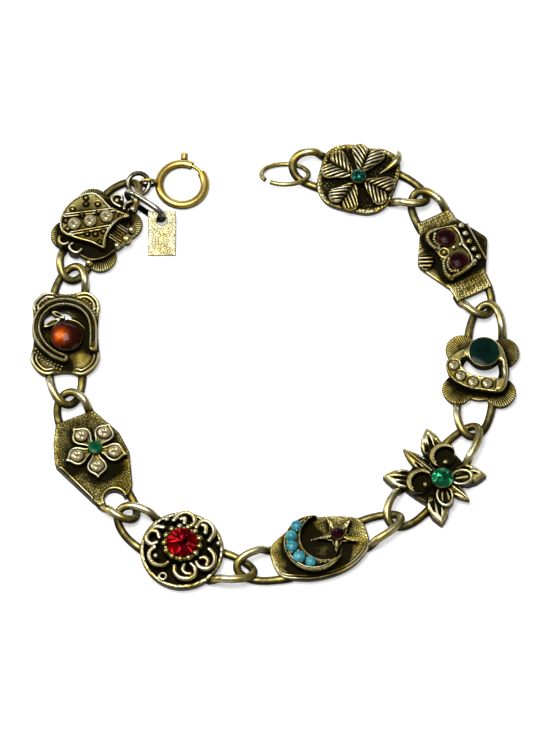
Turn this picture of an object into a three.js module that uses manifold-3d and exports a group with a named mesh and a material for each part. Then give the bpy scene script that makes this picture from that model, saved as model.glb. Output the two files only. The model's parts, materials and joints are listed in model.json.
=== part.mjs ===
// Link bracelet, unclasped and lying in an open curve on a surface.
// Nine cast charm links hang in each other's end loops. One end carries a spring-ring clasp and
// a hang tag on jump rings, the other end an open jump ring.
// Millimetres, +Z up. The surface is z = 0 and the origin is the middle of the footprint.
import * as THREE from "three";
import { mergeVertices } from "three/addons/utils/BufferGeometryUtils.js";
import Module from "manifold-3d";

const wasm = await Module();
wasm.setup();

// ---------------------------------------------------------------- driving dimensions

const plateTop = 1.8; // thickness of a link's cast plate
const thinPlateTop = 1.5; // thickness of the two ribbed four-lobed plates
const loopWire = 0.5; // radius of the cast end loops
const loopHeight = 1.5; // height of a loop's middle
const loopTwist = 0.66; // rise per millimetre across a loop, which lets two loops cross
const loopBite = 0.45; // how far a loop's legs run into the plate
const stoneGap = 0.05; // clearance round a stone in its seat
const bezelWall = 0.3;
const stoneSides = 8;
const sink = 0.3; // how far a raised piece runs down into what carries it
const throughAll = [-1, 6]; // heights that reach past both faces of every link

const clasp = {
  x: -13.5,
  y: 29.9,
  turnRadius: 3.35, // from the ring's centre to the middle of its tube
  tube: 0.65,
  bore: 0.42,
  gateWire: 0.28,
  gapFrom: 33, // degrees round the ring's centre
  gapTo: 64,
  boreTo: 158,
  knobAt: 86,
  travel: 32, // degrees that the gate slides back
  eyeAt: 181,
  eyeRadius: 1.05,
  eyeWire: 0.3,
};

// The jump rings: half length and half width to the middle of the wire, and the rise per
// millimetre across a ring that leans. The tag's ring stands upright, so it has a half height.
const claspRing = { length: 1.6, width: 1.4, rise: 0.6, wire: 0.35, at: [-19.9, 29.5, 1.65], turn: 35 };
const tagRing = { length: 3.33, height: 1.93, wire: 0.38, at: [6.9, -3.75, 2.35], turn: -90 };
const endRing = {
  length: 3.45, width: 2.05, rise: -0.42, wire: 0.33, at: [1.6, 31.2, 1.35],
  from: 232, // degrees round the ring at which its wire starts and ends
  to: 572,
};

const tag = {
  width: 4.1, length: 6.7, thickness: 0.4,
  hole: 0.75, // radius of the hole
  inset: 1.35, // from the end of the plate to the middle of the hole
  at: [-16.45, 23.75, 1.36],
  tilt: 11.5,
};

// Each link's middle, and the direction in which the chain runs through it.
// back and ahead are its end loops: reach is the distance from the middle to the loop's far end,
// root where its legs meet the plate, half its half width, and off its shift across.
const links = {
  clover: {
    x: 12.3, y: 30.4, turn: -15.4,
    back: { reach: 9.9, root: 5.8, half: 2.5, off: -0.1, lean: 0 },
    ahead: { reach: 10.6, root: 5.6, half: 2.35, off: 0.3, lean: -0.9 },
  },
  crown: {
    x: 26.1, y: 18.4, turn: -63.7,
    back: { reach: 11.0, root: 6.6, half: 2.4, off: 0.1, lean: -0.5 },
    ahead: { reach: 11.1, root: 7.4, half: 2.5, off: 0, lean: -0.2 },
  },
  heart: {
    x: 30.2, y: -0.3, turn: -94.7,
    back: { reach: 10.4, root: 4.8, half: 2.5, off: 0.25, lean: -0.2 },
    ahead: { reach: 11.0, root: 5.2, half: 2.55, off: -0.45, lean: -0.3 },
  },
  orchid: {
    x: 23.9, y: -17.9, turn: -129.4,
    back: { reach: 9.9, root: 4.6, half: 2.2, off: -0.6, lean: -0.3 },
    ahead: { reach: 10.0, root: 4.4, half: 2.6, off: -0.7, lean: -0.1 },
  },
  crescent: {
    x: 7.0, y: -28.8, turn: -158,
    back: { reach: 12.3, root: 6.7, half: 2.1, off: 0.2, lean: -0.3 },
    ahead: { reach: 12.8, root: 7.4, half: 2.5, off: 0.1, lean: -1.3 },
  },
  rosette: {
    x: -13.3, y: -29.5, turn: 153.2,
    back: { reach: 10.8, root: 5.4, half: 2.4, off: -0.2, lean: -1.1 },
    ahead: { reach: 11.1, root: 5.4, half: 2.6, off: -0.3, lean: -1.0 },
  },
  daisy: {
    x: -26.3, y: -13.8, turn: 112.8,
    back: { reach: 12.0, root: 6.7, half: 2.3, off: 0, lean: -1.0 },
    ahead: { reach: 10.3, root: 6.2, half: 2.4, off: 0.3, lean: -0.1 },
  },
  horseshoe: {
    x: -30.4, y: 5.6, turn: 90,
    back: { reach: 11.7, root: 6.4, half: 2.4, off: 0, lean: -0.1 },
    ahead: { reach: 10.5, root: 5.9, half: 2.3, off: -0.4, lean: -0.7 },
  },
  shield: {
    x: -26.0, y: 22.2, turn: 54,
    back: { reach: 9.0, root: 4.8, half: 2.3, off: -0.1, lean: -0.9 },
    ahead: { reach: 9.3, root: 4.9, half: 2.45, off: 0, lean: 0 },
  },
};

// ---------------------------------------------------------------- finishes

const agedBrass = new THREE.MeshStandardMaterial({ color: "#7d6a38", roughness: 0.42, metalness: 0.9 });
const brightBrass = new THREE.MeshStandardMaterial({
  color: "#b0913f", roughness: 0.28, metalness: 0.95,
});
const darkSteel = new THREE.MeshStandardMaterial({ color: "#6d6857", roughness: 0.35, metalness: 0.9 });
const paleGilt = new THREE.MeshStandardMaterial({ color: "#cdbb7c", roughness: 0.45, metalness: 0.85 });

const glass = (color, roughness = 0.08) =>
  new THREE.MeshStandardMaterial({ color, roughness, metalness: 0 });
const emerald = glass("#0f6b45");
const bottleGreen = glass("#0a3b2c", 0.2);
const garnet = glass("#3c0a14");
const ruby = glass("#b3101c");
const amber = glass("#b0480c");
const clear = glass("#c9c6a8");
const turquoise = glass("#3ea7b4", 0.4);

// ---------------------------------------------------------------- shapes and solids

const radians = THREE.MathUtils.degToRad;

/** The point at a distance and an angle from a middle. */
function around({ x, y }, reach, angle) {
  return [x + reach * Math.cos(radians(angle)), y + reach * Math.sin(radians(angle))];
}

/** The outline of a pointed leaf: widest at a share of its length, its foot a share of its width. */
function pointed(root, tip, width, widestAt, foot) {
  const [x0, y0] = root;
  const length = Math.hypot(tip[0] - x0, tip[1] - y0);
  const ux = (tip[0] - x0) / length;
  const uy = (tip[1] - y0) / length;
  const at = (along, across) => [x0 + ux * along - uy * across, y0 + uy * along + ux * across];
  return [
    at(0, (width * foot) / 2),
    at(0, (-width * foot) / 2),
    at(length * widestAt, -width / 2),
    tip,
    at(length * widestAt, width / 2),
  ];
}

/** A closed outline with straight sides. */
function polygon(points) {
  return new THREE.Shape(points.map(([x, y]) => new THREE.Vector2(x, y)));
}

/** A closed outline that runs smoothly through its points. */
function rounded(points, steps = 24) {
  const nodes = points.map(([x, y]) => new THREE.Vector3(x, y, 0));
  const curve = new THREE.CatmullRomCurve3(nodes, true, "centripetal");
  return polygon(curve.getPoints(steps).slice(0, steps).map((p) => [p.x, p.y]));
}

function oval(x, y, length, width, turn = 0, steps = 10) {
  const ellipse = new THREE.EllipseCurve(x, y, length, width, 0, 2 * Math.PI, false, radians(turn));
  return polygon(ellipse.getPoints(steps).slice(0, steps).map((p) => [p.x, p.y]));
}

/** A band of even width along an open line of points. */
function band(points, width, steps = 12) {
  const line = new THREE.SplineCurve(points.map(([x, y]) => new THREE.Vector2(x, y)));
  const left = [];
  const right = [];
  for (let i = 0; i <= steps; i++) {
    const at = line.getPointAt(i / steps);
    const along = line.getTangentAt(i / steps);
    left.push([at.x - (along.y * width) / 2, at.y + (along.x * width) / 2]);
    right.unshift([at.x + (along.y * width) / 2, at.y - (along.x * width) / 2]);
  }
  return polygon([...left, ...right]);
}

/** Turns a closed geometry into a solid that can be joined and cut. */
function solid(geometry) {
  geometry.deleteAttribute("normal");
  geometry.deleteAttribute("uv");
  const merged = mergeVertices(geometry, 1e-4);
  return new wasm.Manifold(
    new wasm.Mesh({
      numProp: 3,
      vertProperties: new Float32Array(merged.attributes.position.array),
      triVerts: new Uint32Array(merged.index.array),
    }),
  );
}

const join = (pieces) => pieces.reduce((whole, piece) => whole.add(piece));
const cut = (whole, pieces) => pieces.reduce((rest, piece) => rest.subtract(piece), whole);

/** A named scene mesh from a solid. */
function meshOf(name, body, material) {
  const { vertProperties, triVerts } = body.getMesh();
  const geometry = new THREE.BufferGeometry();
  geometry.setAttribute("position", new THREE.BufferAttribute(new Float32Array(vertProperties), 3));
  geometry.setIndex(new THREE.BufferAttribute(new Uint32Array(triVerts), 1));
  const flat = geometry.toNonIndexed();
  flat.computeVertexNormals();
  const mesh = new THREE.Mesh(flat, material);
  mesh.name = name;
  return mesh;
}

function slab(shape, low, high, curveSegments = 8) {
  const settings = { depth: high - low, bevelEnabled: false, curveSegments };
  return solid(new THREE.ExtrudeGeometry(shape, settings).translate(0, 0, low));
}

function post(x, y, radius, low, high, sides = 12) {
  const geometry = new THREE.CylinderGeometry(radius, radius, high - low, sides);
  return solid(geometry.rotateX(Math.PI / 2).translate(x, y, (low + high) / 2));
}

/** A ring of wire lying flat. */
function ring(x, y, z, radius, wireRadius) {
  return solid(new THREE.TorusGeometry(radius, wireRadius, 4, 9).translate(x, y, z));
}

/** A curve given by a function of its share of the way. */
class Path extends THREE.Curve {
  constructor(place) {
    super();
    this.place = place;
  }

  getPoint(share, target = new THREE.Vector3()) {
    return target.copy(this.place(share));
  }
}

/** A round wire with flat ends along an open path. */
function wire(path, radius, steps, sides = 6) {
  const section = oval(0, 0, radius, radius, 0, sides);
  return solid(new THREE.ExtrudeGeometry(section, { steps, extrudePath: path, bevelEnabled: false }));
}

/** A round wire that closes on itself. */
function closedWire(path, radius, steps, sides = 6) {
  return solid(new THREE.TubeGeometry(path, steps, radius, sides, true));
}

function arcPath(radius, from, to) {
  return new Path((share) => {
    const angle = radians(from + (to - from) * share);
    return new THREE.Vector3(radius * Math.cos(angle), radius * Math.sin(angle), 0);
  });
}

// ---------------------------------------------------------------- end loops

/**
 * The half-oval loop cast onto one end of a link. Each loop is twisted about the chain, the two
 * ends of a link opposite ways, so that neighbours pass over and under each other.
 */
function endLoop(side, { reach, root, half, off, lean = 0 }) {
  const foot = root - loopBite;
  const path = new Path((share) => {
    const angle = Math.PI * (share - 0.5);
    const twist = loopTwist * (0.35 + 0.65 * Math.cos(angle));
    const across = half * Math.sin(angle);
    const along = foot + (reach - foot) * Math.cos(angle) ** 0.9;
    return new THREE.Vector3(
      side * along,
      off + lean * Math.cos(angle) + across,
      loopHeight - side * across * twist,
    );
  });
  return wire(path, loopWire, 10);
}

// ---------------------------------------------------------------- stones

/** A stone's profile from its seat: straight sides, then facets or a dome, turned about its axis. */
function stoneSolid({ r, seat, girdle, top, form = "faceted", sides = stoneSides }) {
  const crown = top - girdle;
  const profiles = {
    faceted: [[r, girdle], [0.62 * r, top]],
    dome: [[r, girdle], [0.86 * r, girdle + 0.5 * crown], [0.5 * r, girdle + 0.87 * crown]],
  };
  const points = [[0, seat], [r, seat], ...profiles[form], [0, top]];
  const outline = points.map(([x, z]) => new THREE.Vector2(x, z));
  return solid(new THREE.LatheGeometry(outline, sides).rotateX(Math.PI / 2));
}

function seatCut({ x, y, r, seat, sides = stoneSides }) {
  return post(x, y, r + stoneGap, seat - stoneGap, throughAll[1], sides);
}

function bezel({ x, y, r, girdle, sides = stoneSides }, foot) {
  return post(x, y, r + stoneGap + bezelWall, foot, girdle, sides);
}

// ---------------------------------------------------------------- the charm links
// Each returns the parts of its metal solid, the parts to cut from it, and its stones.
// x runs with the chain, y towards the outside of the curve.

/** Four heart-shaped clover leaves and a curved stem on a hammered eight-sided plate. */
function clover() {
  const plate = polygon([
    [5.6, 2.9], [4.7, 4.5], [2.2, 5.4], [-0.6, 5.4], [-3.9, 4.8], [-5.8, 2.6],
    [-5.8, -2.4], [-4.5, -4.4], [-2.9, -5.3], [2.7, -5.0], [4.6, -4.1], [5.6, -2.1],
  ]);
  const leafTurns = [86, 163, 252, 347];
  const lobe = { length: 2.05, width: 1.1, reach: 3.35, spread: 18, top: 3.1 };
  const middle = { x: 0.15, y: -0.25 };
  const lobes = leafTurns.flatMap((turn) =>
    [-lobe.spread, lobe.spread].map((spread) => {
      const at = around(middle, lobe.reach, turn + spread);
      return slab(oval(...at, lobe.length, lobe.width, turn + spread), plateTop - sink, lobe.top);
    }),
  );
  const stem = { line: [[3.0, 1.7], [4.1, 3.2], [4.6, 5.5]], width: 0.7, top: 2.7 };
  const stones = [
    { name: "clover_stone", ...middle, r: 1.05, seat: 2.7, girdle: 3.3, top: 3.7, material: emerald },
  ];
  const add = [
    slab(plate, 0, plateTop),
    ...lobes,
    slab(band(stem.line, stem.width, 5), plateTop - sink, stem.top),
    bezel(stones[0], plateTop - sink),
  ];
  return { add, stones };
}

/** A jewelled crown with two garnets on a cross-hatched six-sided plate. */
function crown() {
  const plate = polygon([
    [7.4, 2.9], [5.0, 3.0], [0.1, 5.6], [-4.9, 3.0], [-6.6, 2.8],
    [-6.6, -2.6], [-4.9, -2.9], [-0.1, -5.5], [5.0, -3.0], [7.4, -2.9],
  ]);
  const cap = rounded(
    [
      [-3.9, 0.2], [-3.2, 2.0], [-0.1, 2.3], [3.3, 2.0],
      [4.1, 0.2], [3.7, -2.3], [0.1, -1.9], [-3.5, -2.3],
    ],
    20,
  );
  const capTop = 2.9;
  const knobs = [[-2.9, 2.9], [-1.5, 2.8], [-0.1, 2.7], [1.3, 2.8], [2.7, 2.9]];
  const knob = { radius: 0.42, top: 3.0 };
  const eye = { x: 0, y: -1.4, z: 3.0, radius: 0.75, wire: 0.25, ball: 0.45 };
  const stones = [-2.0, 2.2].map((x, i) => ({
    name: `crown_garnet_${i + 1}`, x, y: 0, r: 1.22, seat: 2.5, girdle: 3.1, top: 3.6,
    form: "dome", material: garnet,
  }));
  const add = [
    slab(plate, 0, plateTop),
    slab(cap, plateTop - sink, capTop),
    ring(eye.x, eye.y, eye.z, eye.radius, eye.wire),
    post(eye.x, eye.y, eye.ball, capTop - sink, eye.z + eye.wire, 7),
    ...knobs.map(([x, y]) => post(x, y, knob.radius, plateTop - sink, knob.top, 7)),
    ...stones.map((stone) => bezel(stone, capTop - 3 * sink)),
  ];
  return { add, stones };
}

/** The four-lobed plate that the heart and the shield sit on. */
function lobedPlate(middle) {
  const corner = { x: 3.2, y: 3.1, length: 2.45, width: 2.35 };
  const waist = { length: 4.75, width: 4.2 };
  const corners = [[1, 1], [-1, 1], [-1, -1], [1, -1]].map(([right, up]) =>
    oval(middle + right * corner.x, up * corner.y, corner.length, corner.width, 0, 14),
  );
  const outlines = [oval(middle, 0, waist.length, waist.width, 0, 16), ...corners];
  return outlines.map((outline) => slab(outline, 0, thinPlateTop));
}

/** A heart-shaped frame with a green stone and four rhinestones over a ribbed open plate. */
function heart() {
  const outer = rounded(
    [
      [4.0, 3.3], [4.05, 0.5], [3.6, -2.3], [2.1, -4.5], [0.0, -5.1], [-1.5, -4.0],
      [-2.6, -2.4], [-4.3, 0.9], [-3.3, 2.8], [-0.5, 3.9], [2.2, 4.1],
    ],
    30,
  );
  const window = rounded(
    [
      [1.75, 2.9], [1.8, 0.3], [1.45, -1.6], [0.1, -2.9],
      [-1.0, -2.5], [0.35, 0.3], [-0.7, 2.6], [0.5, 3.0],
    ],
    22,
  );
  const plateMiddle = 0.3;
  const frame = { foot: thinPlateTop - sink, top: 3.15 };
  const openRadius = 2.65;
  const stones = [
    {
      name: "heart_stone", x: -1.95, y: 0.3, r: 2.2, seat: 2.4, girdle: 3.3, top: 3.5,
      form: "dome", sides: 16, material: bottleGreen,
    },
    ...[[2.9, 1.15], [2.85, -0.95], [2.05, -2.85], [0.4, -3.95]].map(([x, y], i) => ({
      name: `heart_rhinestone_${i + 1}`, x, y, r: 0.72, seat: 2.7, girdle: 3.2, top: 3.4,
      material: clear,
    })),
  ];
  const add = [
    ...lobedPlate(plateMiddle),
    slab(outer, frame.foot, frame.top),
    bezel(stones[0], frame.foot + 2 * sink),
  ];
  const holes = [
    slab(window, ...throughAll),
    post(plateMiddle, 0, openRadius, throughAll[0], frame.foot + sink, 16),
  ];
  return { add, cut: holes, stones };
}

/** Pointed leaves, a long and a short petal and two cupped petals round a green stone. */
function orchid() {
  const leaves = [
    { root: [-2.0, 1.4], tip: [-4.9, 5.0], width: 3.4, top: 2.0 },
    { root: [2.3, 1.4], tip: [5.4, 5.0], width: 3.4, top: 2.0 },
    { root: [-2.2, -2.4], tip: [-5.2, -6.5], width: 3.2, top: 2.0 },
    { root: [2.4, -2.4], tip: [4.8, -6.5], width: 3.2, top: 2.0 },
    { root: [0.0, 1.0], tip: [0.0, 5.9], width: 1.8, top: 2.6 },
    { root: [0.0, -1.0], tip: [-0.2, -6.7], width: 2.1, top: 2.8 },
  ].map(({ root, tip, width, top }) => {
    const outline = pointed(root, tip, width, 0.45, 0.7);
    return slab(polygon(outline), 0, top);
  });
  const body = rounded(
    [
      [4.6, 2.0], [2.0, 3.2], [-2.0, 3.2], [-4.6, 1.9],
      [-4.9, -2.9], [-2.2, -4.2], [2.4, -4.2], [4.8, -3.4],
    ],
    20,
  );
  const cup = { length: 1.9, width: 1.75, top: 2.9, floor: 2.1, wall: 0.55 };
  const curl = { length: 1.1, width: 0.95, top: 2.8 };
  const cups = [-2.6, 2.8].map((x) =>
    slab(oval(x, -1.3, cup.length, cup.width, 0, 12), plateTop - sink, cup.top),
  );
  const hollows = [-2.6, 2.8].map((x) =>
    slab(oval(x, -1.5, cup.length - cup.wall, cup.width - cup.wall), cup.floor, throughAll[1]),
  );
  const curls = [-1.75, 2.0].map((x) =>
    slab(oval(x, 2.9, curl.length, curl.width), plateTop - sink, curl.top),
  );
  const stones = [
    { name: "orchid_stone", x: 0.2, y: 0.9, r: 1.4, seat: 2.9, girdle: 3.6, top: 4.1, material: emerald },
  ];
  const add = [
    slab(body, 0, plateTop),
    ...leaves,
    ...cups,
    ...curls,
    bezel(stones[0], plateTop - sink),
  ];
  return { add, cut: hollows, stones };
}

/** A crescent set with turquoise beside a five-pointed star, on a hammered oval plate. */
function crescent() {
  const plate = rounded(
    [
      [7.5, 1.9], [5.2, 3.6], [2.5, 4.6], [-0.8, 4.9], [-3.8, 4.3], [-6.3, 2.6],
      [-7.0, 0], [-6.6, -2.2], [-3.2, -4.0], [0.8, -5.0], [4.6, -4.0], [7.3, -2.3],
    ],
    26,
  );
  const moon = { x: 1.15, y: -0.45, r: 4.4, top: 3.2 };
  const bite = { x: -0.75, y: -0.7, r: 3.6 };
  const crescentMoon = slab(oval(moon.x, moon.y, moon.r, moon.r, 0, 24), plateTop - sink, moon.top)
    .subtract(slab(oval(bite.x, bite.y, bite.r, bite.r, 0, 20), ...throughAll));
  const star = { x: -2.65, y: -0.6, turn: -8, tip: 3.1, notch: 1.25, top: 2.7 };
  const starOutline = Array.from({ length: 10 }, (_, i) =>
    around(star, i % 2 ? star.notch : star.tip, star.turn + 36 * i),
  );
  const beadArc = { x: 0.85, y: -0.75, r: 3.5 };
  const beads = [
    { angle: 58, r: 0.72 },
    { angle: 27, r: 0.82 },
    { angle: -6, r: 0.86 },
    { angle: -33, r: 0.86 },
    { angle: -62, r: 0.8 },
  ];
  const turquoises = beads.map(({ angle, r }, i) => {
    const [x, y] = around(beadArc, beadArc.r, angle);
    return {
      name: `crescent_turquoise_${i + 1}`, x, y, r, seat: 2.6, girdle: 3.2, top: 3.7,
      form: "dome", material: turquoise,
    };
  });
  const starStone = {
    name: "star_garnet", x: star.x, y: star.y, r: 0.92, seat: 2.5, girdle: 2.95, top: 3.4,
    material: garnet,
  };
  const add = [
    slab(plate, 0, plateTop),
    crescentMoon,
    slab(polygon(starOutline), plateTop - sink, star.top),
    bezel(starStone, plateTop - sink),
  ];
  return { add, stones: [...turquoises, starStone] };
}

/** A red stone in a beaded ring, with three pairs of wire scrolls, in a round dish. */
function rosette() {
  const dish = { x: 0.1, r: 6.1, top: 2.0, wall: 0.6, floor: 1.3 };
  const stone = {
    name: "rosette_ruby", x: 0.15, y: 0, r: 2.25, seat: 3.0, girdle: 3.9, top: 4.5, sides: 14,
    material: ruby,
  };
  const cup = { r: 2.75, top: 3.5 };
  const prong = { count: 13, reach: 2.72, r: 0.36, top: 4.0 };
  const scroll = { reach: 4.25, r: 0.95, wire: 0.3, z: 2.8 };
  const knob = { reach: 5.0, r: 0.5, top: 2.4 };
  const spots = (count, reach, from) =>
    Array.from({ length: count }, (_, i) => around(stone, reach, from + (360 * i) / count));
  const scrollSpots = [...spots(3, scroll.reach, 8), ...spots(3, scroll.reach, 52)];
  const add = [
    post(dish.x, 0, dish.r, 0, dish.top, 28).subtract(
      post(dish.x, 0, dish.r - dish.wall, dish.floor, throughAll[1], 28),
    ),
    post(stone.x, stone.y, cup.r, dish.floor - sink, cup.top, 20),
    ...spots(prong.count, prong.reach, 0).map(([x, y]) =>
      post(x, y, prong.r, cup.top - 3 * sink, prong.top, 5),
    ),
    ...scrollSpots.map(([x, y]) => ring(x, y, scroll.z, scroll.r, scroll.wire)),
    ...scrollSpots.map(([x, y]) => post(x, y, scroll.r - 0.05, dish.floor - sink, scroll.z, 8)),
    ...spots(3, knob.reach, 90).map(([x, y]) => post(x, y, knob.r, dish.floor - sink, knob.top, 8)),
  ];
  return { add, stones: [stone] };
}

/** Five pointed petals, each with a rhinestone, round a green centre on a stippled plate. */
function daisy() {
  const plate = polygon([
    [6.4, 3.3], [3.5, 4.9], [0.8, 5.8], [-0.5, 5.6], [-6.9, 3.1], [-8.2, 2.4],
    [-8.2, -2.3], [-6.9, -3.3], [-1.9, -4.9], [1.6, -4.7], [6.4, -2.6],
  ]);
  const middle = { x: 0.05, y: -0.3 };
  const turns = [18, 90, 162, 234, 306];
  const petal = { root: 0.5, tip: 4.5, width: 2.8, top: 2.9 };
  const petals = turns.map((turn) => {
    const root = around(middle, petal.root, turn);
    const tip = around(middle, petal.tip, turn);
    return slab(polygon(pointed(root, tip, petal.width, 0.55, 0.3)), plateTop - sink, petal.top);
  });
  const hub = { r: 1.3, top: 3.1 };
  const hole = { x: -7.95, r: 1.45 };
  const rhinestoneReach = 2.75;
  const stones = [
    {
      name: "daisy_centre", ...middle, r: 0.98, seat: 2.7, girdle: 3.2, top: 3.5, form: "dome",
      sides: 10, material: bottleGreen,
    },
    ...turns.map((turn, i) => {
      const [x, y] = around(middle, rhinestoneReach, turn);
      return {
        name: `daisy_rhinestone_${i + 1}`, x, y, r: 0.74, seat: 2.5, girdle: 2.95, top: 3.15,
        material: clear,
      };
    }),
  ];
  const add = [
    slab(plate, 0, plateTop),
    ...petals,
    post(middle.x, middle.y, hub.r, plateTop - sink, hub.top, 10),
  ];
  return { add, cut: [slab(oval(hole.x, 0, hole.r, hole.r, 0, 14), ...throughAll)], stones };
}

/** A horseshoe round an amber cabochon with two leaves, on a ridged plate with an open middle. */
function horseshoe() {
  const plate = rounded(
    [
      [6.5, 2.6], [5.9, 3.9], [4.5, 4.9], [2.6, 4.8], [0, 4.7], [-2.2, 4.8], [-4.4, 5.2],
      [-6.0, 4.5], [-7.0, 3.0], [-6.6, 0.8], [-6.6, -0.8], [-7.1, -2.4], [-5.9, -4.2],
      [-4.2, -5.0], [-2.2, -4.8], [0, -4.7], [2.6, -4.8], [4.4, -5.0], [5.8, -4.2],
      [6.5, -2.8], [6.1, 0],
    ],
    42,
  );
  const shoe = { x: -0.15, y: 0.2, r: 4.15, from: -123, to: 180, width: 1.25, top: 3.0 };
  const shoeLine = Array.from({ length: 9 }, (_, i) =>
    around(shoe, shoe.r, shoe.from + ((shoe.to - shoe.from) * i) / 8),
  );
  const stone = {
    name: "horseshoe_cabochon", x: -1.05, y: -0.1, r: 2.3, seat: 1.9, girdle: 2.5, top: 3.9,
    form: "dome", sides: 14, material: amber,
  };
  const leafTop = 2.7;
  const leaves = [oval(1.0, 2.0, 1.5, 0.4, 118, 8), oval(2.3, 1.1, 1.2, 0.35, 62, 8)];
  const window = rounded([[0.9, 2.9], [2.2, 3.0], [3.1, 1.6], [3.2, 0], [2.2, -0.8], [1.7, 0.5]], 14);
  const add = [
    slab(plate, 0, plateTop),
    slab(band(shoeLine, shoe.width, 22), plateTop - sink, shoe.top),
    bezel(stone, plateTop - 2 * sink),
  ];
  return {
    add,
    cut: [slab(window, ...throughAll)],
    late: leaves.map((leaf) => slab(leaf, plateTop - sink, leafTop)),
    stones: [stone],
  };
}

/** A raised shield with a bend of three rhinestones, over scrolls and balls on a ribbed plate. */
function shield() {
  const face = rounded(
    [
      [3.8, -2.9], [2.2, -2.5], [0.2, -2.4], [-1.8, -2.7], [-3.5, -3.5], [-3.2, -1.4],
      [-4.2, 1.2], [-4.1, 3.3], [-2.4, 4.8], [0, 5.2], [2.3, 4.7], [3.7, 3.3],
      [3.9, 1.5], [3.2, -0.5],
    ],
    32,
  );
  const scrollwork = rounded(
    [
      [5.2, -1.8], [3.6, -3.4], [0.6, -4.9], [-1.6, -4.4], [-3.4, -3.8], [-4.9, -2.2],
      [-5.0, 1.0], [-3.6, 3.6], [3.6, 3.6], [5.0, 1.6], [5.7, 0.1],
    ],
    26,
  );
  const scrollTop = 2.7;
  const faceTop = 3.95;
  const balls = [
    { x: -1.0, y: -4.8, r: 0.6 },
    { x: 0.6, y: -5.2, r: 0.75 },
    { x: 2.1, y: -4.8, r: 0.6 },
    { x: 5.0, y: -2.9, r: 0.6 },
    { x: 5.2, y: 0.1, r: 0.5 },
    { x: -5.3, y: -2.7, r: 0.6 },
  ];
  const stones = [[-2.05, 2.55], [-0.3, 0.95], [1.7, -0.55]].map(([x, y], i) => ({
    name: `shield_rhinestone_${i + 1}`, x, y, r: 0.76, seat: 3.5, girdle: 4.0, top: 4.25,
    material: clear,
  }));
  const add = [
    ...lobedPlate(0),
    slab(scrollwork, thinPlateTop - sink, scrollTop),
    slab(face, scrollTop - sink, faceTop),
    ...balls.map(({ x, y, r }) => post(x, y, r, thinPlateTop - sink, scrollTop + sink * r, 8)),
  ];
  return { add, stones };
}

const charms = { clover, crown, heart, orchid, crescent, rosette, daisy, horseshoe, shield };

/** One link: its metal as a single solid and its stones, in the link's own group. */
function linkGroup(name) {
  const place = links[name];
  const { add, cut: holes = [], late = [], stones } = charms[name]();
  const loops = [endLoop(-1, place.back), endLoop(1, place.ahead)];
  const pierced = cut(join([...add, ...loops]), holes);
  const metal = cut(join([pierced, ...late]), stones.map(seatCut));
  const group = new THREE.Group();
  group.add(meshOf(`${name}_link`, metal, agedBrass));
  for (const stone of stones) {
    const mesh = meshOf(stone.name, stoneSolid(stone), stone.material);
    mesh.position.set(stone.x, stone.y, 0);
    group.add(mesh);
  }
  group.position.set(place.x, place.y, 0);
  group.rotation.z = radians(place.turn);
  return group;
}

// ---------------------------------------------------------------- clasp end

/** The spring ring: a hollow tube with a gap, a slot for the knob and an upright eye. */
function springRing() {
  const {
    turnRadius, tube, bore, gapFrom, gapTo, boreTo, knobAt, travel, eyeAt, eyeRadius, eyeWire,
  } = clasp;
  const slotPlay = 8;
  const slotHalf = 0.26;
  const body = wire(arcPath(turnRadius, gapTo, gapFrom + 360), tube, 36, 8);
  const channel = wire(arcPath(turnRadius, gapTo - 4, boreTo), bore, 12, 8);
  const socket = wire(arcPath(turnRadius, gapFrom - 5, gapFrom + 4), bore, 2, 8);
  const slotShape = new THREE.Shape();
  const slotFrom = radians(knobAt - slotPlay);
  const slotTo = radians(knobAt + travel + slotPlay);
  slotShape.absarc(0, 0, turnRadius + 2, slotFrom, slotTo, false);
  slotShape.absarc(0, 0, turnRadius + 0.1, slotTo, slotFrom, true);
  const slot = slab(slotShape, -slotHalf, slotHalf, 8);
  const angle = radians(eyeAt);
  const eyeReach = turnRadius + tube + eyeRadius - 0.1;
  const eye = new THREE.TorusGeometry(eyeRadius, eyeWire, 6, 14);
  eye.rotateX(Math.PI / 2).rotateZ(angle);
  eye.translate(eyeReach * Math.cos(angle), eyeReach * Math.sin(angle), eyeRadius + eyeWire - tube);
  return cut(body, [channel, socket, slot]).add(solid(eye));
}

/** The sliding gate: a curved wire across the gap, with its ridged thumb knob outside the slot. */
function gate() {
  const { turnRadius, tube, gateWire, gapFrom, knobAt } = clasp;
  const tipInSocket = 2;
  const tail = 11;
  const rod = wire(arcPath(turnRadius, gapFrom - tipInSocket, knobAt + tail), gateWire, 9, 8);
  const neck = new THREE.BoxGeometry(1.2, 0.5, 0.32).translate(turnRadius + 0.6, 0, 0);
  const headFoot = turnRadius + tube + 0.12;
  const head = new THREE.BoxGeometry(1.05, 1.15, 1.0).translate(headFoot + 0.52, 0, 0);
  const turned = [neck, head].map((part) => solid(part.rotateZ(radians(knobAt))));
  return join([rod, ...turned]);
}

/** An oval jump ring's path: long axis along x, its two long sides tipped by rise per millimetre. */
function ovalPath(length, width, rise, from = 0, to = 360) {
  return new Path((share) => {
    const angle = radians(from + (to - from) * share);
    const across = width * Math.sin(angle);
    return new THREE.Vector3(length * Math.cos(angle), across, across * rise);
  });
}

/** A race-track path standing upright: straight sides and half-round ends. */
function uprightPath(half, radius) {
  const straight = half - radius;
  const track = new THREE.CurvePath();
  const corner = (x, z) => new THREE.Vector3(x, 0, z);
  const end = (side) =>
    new Path((share) => {
      const angle = Math.PI * (share - 0.5);
      return corner(side * (straight + radius * Math.cos(angle)), side * radius * Math.sin(angle));
    });
  track.add(end(1));
  track.add(new THREE.LineCurve3(corner(straight, radius), corner(-straight, radius)));
  track.add(end(-1));
  track.add(new THREE.LineCurve3(corner(-straight, -radius), corner(straight, -radius)));
  return track;
}

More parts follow.
